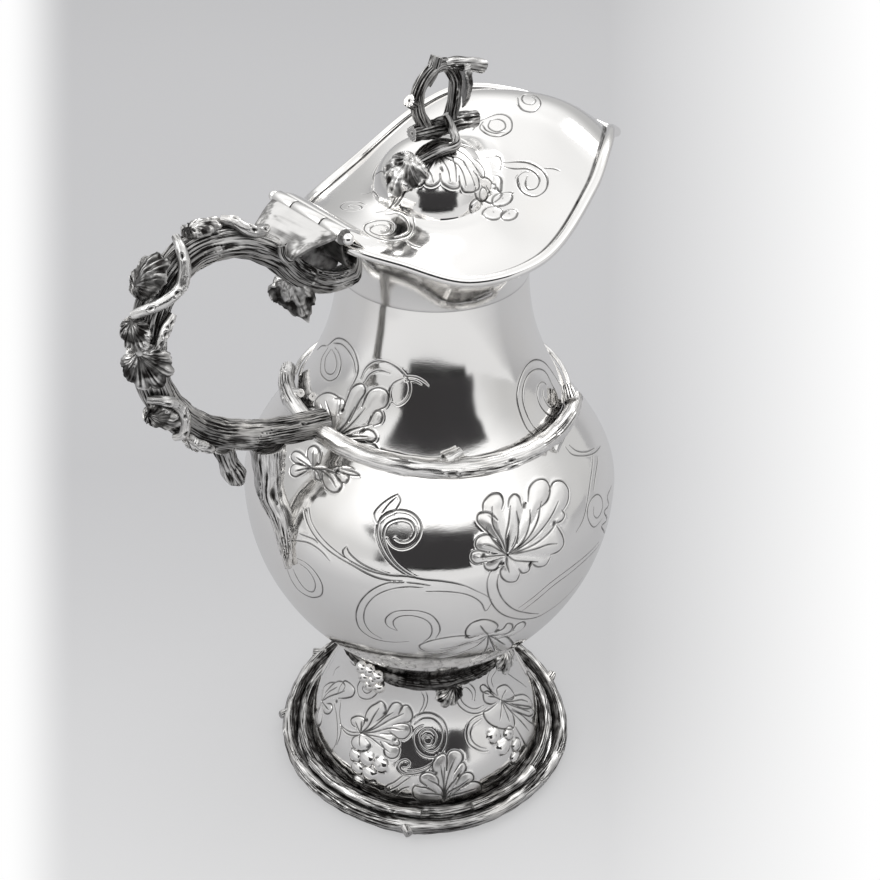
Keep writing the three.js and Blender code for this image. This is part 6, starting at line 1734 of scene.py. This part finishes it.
def floor_material(stage):
    """A pale floor that keeps its shadows in a band that widens to the back, and glows whiter for the camera
    on both sides of the band and towards the front. For metal it glows as a painted light, brighter in front,
    with a dark doorway painted on it far out."""
    material = bpy.data.materials.new("Pale floor")
    material.use_nodes = True
    nodes = Nodes(material.node_tree)
    place = nodes.add("TexCoord").outputs["Object"]
    tone = nodes.fit(nodes.clouds(place, 1.4, 1.0), 0.3, 0.7, 0.98, 1.02)
    grey = [(0, tuple(stage.floor_colour)), (3, tone)]
    colour = nodes.add("VectorMath", grey, operation="SCALE").outputs[0]
    shader = nodes.add("BsdfPrincipled", [("Base Color", colour), ("Roughness", 0.7)])
    turn = Matrix.Rotation(math.radians(FRONT), 3, "Z")

    def over_floor(right, back, start=0.0):
        """A value that grows over the floor, by so much a metre to the right and to the back."""
        return nodes.maths("ADD", nodes.along(place, turn @ Vector((right, back, 0))), start)

    # These numbers were worked out from CAMERA_AT and CAMERA_TURN: how deep in the picture a place on the
    # floor lies, how far across it and how far up. So the band stands upright in the photograph's view. The
    # pattern stays where it is on the floor when the camera moves.
    width = over_floor(0.0112, 0.81467, 0.5761)
    across = nodes.maths("DIVIDE", over_floor(0.99981, 0, -0.01903), width)
    back = nodes.maths("DIVIDE", over_floor(-0.01574, 0.57992, -0.13288), width)
    left = nodes.fit(across, -0.335, -0.28, 1.0, 0.0, soft=True)
    sides = nodes.maths("MAXIMUM", left, nodes.fit(across, 0.13, 0.33))
    sweep = nodes.fit(back, -0.02, -0.34, 0.107, 0.486)
    white = nodes.maths("MULTIPLY_ADD", sweep, nodes.maths("SUBTRACT", 1.0, sides), sides)
    # Glossy rays see the floor glow as a painted light, brighter towards the front, with a dark doorway
    # painted on the glow far out.
    front, beside = over_floor(-0.0112, -0.81467), over_floor(0.99981, 0)
    slant = nodes.maths("DIVIDE", beside, nodes.maths("MAXIMUM", front, 0.01))
    aside = nodes.maths("ABSOLUTE", nodes.maths("SUBTRACT", slant, WINDOW_ASIDE))
    doorway = nodes.maths("MULTIPLY", nodes.fit(aside, 0.66, 0.76, 1.0, 0.0), nodes.fit(front, 1.3, 1.6))
    tint = nodes.blend(doorway, (1, 1, 1, 1), (0.02, 0.02, 0.02, 1))
    mirrored = nodes.maths("MAXIMUM", nodes.fit(front, 0.06, 0.4, 0.0, 0.6), doorway)
    ray = nodes.add("LightPath").outputs
    shown = nodes.maths("MULTIPLY", white, ray["Is Camera Ray"])
    share = nodes.maths("MULTIPLY_ADD", mirrored, ray["Is Glossy Ray"], shown)
    glow = nodes.add("Emission", [("Color", tint), ("Strength", 1.0)])
    mixed = nodes.add("MixShader", [(0, share), (1, shader.outputs[0]), (2, glow.outputs[0])])
    nodes.add("OutputMaterial", [("Surface", mixed.outputs[0])])
    return material


def stage_and_camera(scene, stage):
    mesh = bpy.data.meshes.new("floor")
    mesh.from_pydata([(-6, -6, 0), (6, -6, 0), (6, 6, 0), (-6, 6, 0)], [], [(0, 1, 2, 3)])
    mesh.materials.append(floor_material(stage))
    floor = bpy.data.objects.new("floor", mesh)
    scene.collection.objects.link(floor)
    world = bpy.data.worlds.new("Tent")
    world.use_nodes = True
    scene.world = world
    build_tent(world, stage)
    for name, at, size, power in (
        ("Side lamp", (-0.9, 0.5, 1.3), 0.9, 1.0),
        ("Far lamp", (0.9, 0.2, 1.2), 0.8, 0.8),
    ):
        light = bpy.data.lights.new(name, "AREA")
        light.size, light.energy = size, power * stage.lamp
        lamp = bpy.data.objects.new(name, light)
        lamp.location = at
        lamp.rotation_euler = (Vector((0, 0, 0.12)) - Vector(at)).to_track_quat("-Z", "Y").to_euler()
        scene.collection.objects.link(lamp)
    lens = bpy.data.cameras.new("Camera")
    lens.lens, lens.clip_start = stage.focal_length, 0.02
    camera = bpy.data.objects.new("Camera", lens)
    camera.location = Vector(CAMERA_AT) + Vector(AXIS / MM)
    camera.rotation_euler = [math.radians(turn) for turn in CAMERA_TURN]
    scene.collection.objects.link(camera)
    scene.camera = camera
    scene.view_settings.view_transform = "Standard"


# Operators and panel

def build(context, *makers):
    """Makes pieces with the settings of the scene."""
    for make in makers:
        make(context.scene.flagon_look, context.scene.flagon_chasing)
    return {"FINISHED"}


class FLAGON_OT_stage(bpy.types.Operator):
    """Lay the floor, hang the tent and the lamps, and set the camera"""
    bl_idname = "flagon.stage"
    bl_label = "Stage and camera"

    def execute(self, context):
        stage_and_camera(context.scene, context.scene.flagon_stage)
        return {"FINISHED"}


class FLAGON_OT_vessel(bpy.types.Operator):
    """Raise the vessel and chase its vine"""
    bl_idname = "flagon.vessel"
    bl_label = "Vessel"

    def execute(self, context):
        return build(context, vessel)


class FLAGON_OT_foot(bpy.types.Operator):
    """Raise the foot, chase it and join it to the vessel with a ring"""
    bl_idname = "flagon.foot"
    bl_label = "Foot"

    def execute(self, context):
        return build(context, foot)


class FLAGON_OT_mouth(bpy.types.Operator):
    """Shape the mouth with its spout and the wire on its rim"""
    bl_idname = "flagon.mouth"
    bl_label = "Mouth and rim"

    def execute(self, context):
        return build(context, mouth)


class FLAGON_OT_lid(bpy.types.Operator):
    """Raise the lid with its dome and chase it"""
    bl_idname = "flagon.lid"
    bl_label = "Lid"

    def execute(self, context):
        return build(context, lid)


class FLAGON_OT_hinge(bpy.types.Operator):
    """Make the hinge's leaf, bracket and pin"""
    bl_idname = "flagon.hinge"
    bl_label = "Hinge"

    def execute(self, context):
        return build(context, hinge)


class FLAGON_OT_twigs(bpy.types.Operator):
    """Lay the twigs round the foot, the collar and the shoulder"""
    bl_idname = "flagon.twigs"
    bl_label = "Twigs round the vessel"

    def execute(self, context):
        return build(context, foot_twigs, collar, shoulder)


class FLAGON_OT_handle(bpy.types.Operator):
    """Bend the branch handle with its spur, stub and vines"""
    bl_idname = "flagon.handle"
    bl_label = "Handle"

    def execute(self, context):
        return build(context, handle)


class FLAGON_OT_leaves(bpy.types.Operator):
    """Cast the leaves that lie on the handle"""
    bl_idname = "flagon.leaves"
    bl_label = "Handle leaves"

    def execute(self, context):
        return build(context, handle_leaves)


class FLAGON_OT_finial(bpy.types.Operator):
    """Build the twig loop over the dome with its leaves"""
    bl_idname = "flagon.finial"
    bl_label = "Finial"

    def execute(self, context):
        return build(context, finial)


class FLAGON_PT_pieces(bpy.types.Panel):
    """Lists the flagon's pieces and the values that shape them"""
    bl_idname = "FLAGON_PT_pieces"
    bl_label = "Wine flagon"
    bl_space_type = "VIEW_3D"
    bl_region_type = "UI"
    bl_category = "Flagon"

    def draw(self, context):
        for settings in (context.scene.flagon_look, context.scene.flagon_chasing, context.scene.flagon_stage):
            box = self.layout.box()
            for name in settings.__annotations__:
                box.prop(settings, name)
        for operator in OPERATORS:
            self.layout.operator(operator.bl_idname)


SETTINGS = {"flagon_look": FlagonLook, "flagon_chasing": FlagonChasing, "flagon_stage": FlagonStage}
OPERATORS = (FLAGON_OT_stage, FLAGON_OT_vessel, FLAGON_OT_foot, FLAGON_OT_mouth, FLAGON_OT_lid,
             FLAGON_OT_hinge, FLAGON_OT_twigs, FLAGON_OT_handle, FLAGON_OT_leaves, FLAGON_OT_finial)


def register():
    for kind in (*SETTINGS.values(), *OPERATORS, FLAGON_PT_pieces):
        bpy.utils.register_class(kind)
    for name, kind in SETTINGS.items():
        setattr(bpy.types.Scene, name, PointerProperty(type=kind))


def unregister():
    for name in SETTINGS:
        delattr(bpy.types.Scene, name)
    for kind in (FLAGON_PT_pieces, *reversed(OPERATORS), *reversed(SETTINGS.values())):
        bpy.utils.unregister_class(kind)


def main():
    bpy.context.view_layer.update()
    register()
    bpy.ops.flagon.stage()
    bpy.ops.flagon.vessel()
    bpy.ops.flagon.foot()
    bpy.ops.flagon.mouth()
    bpy.ops.flagon.lid()
    bpy.ops.flagon.hinge()
    bpy.ops.flagon.twigs()
    bpy.ops.flagon.handle()
    bpy.ops.flagon.leaves()
    bpy.ops.flagon.finial()


if __name__ == "__main__":
    main()
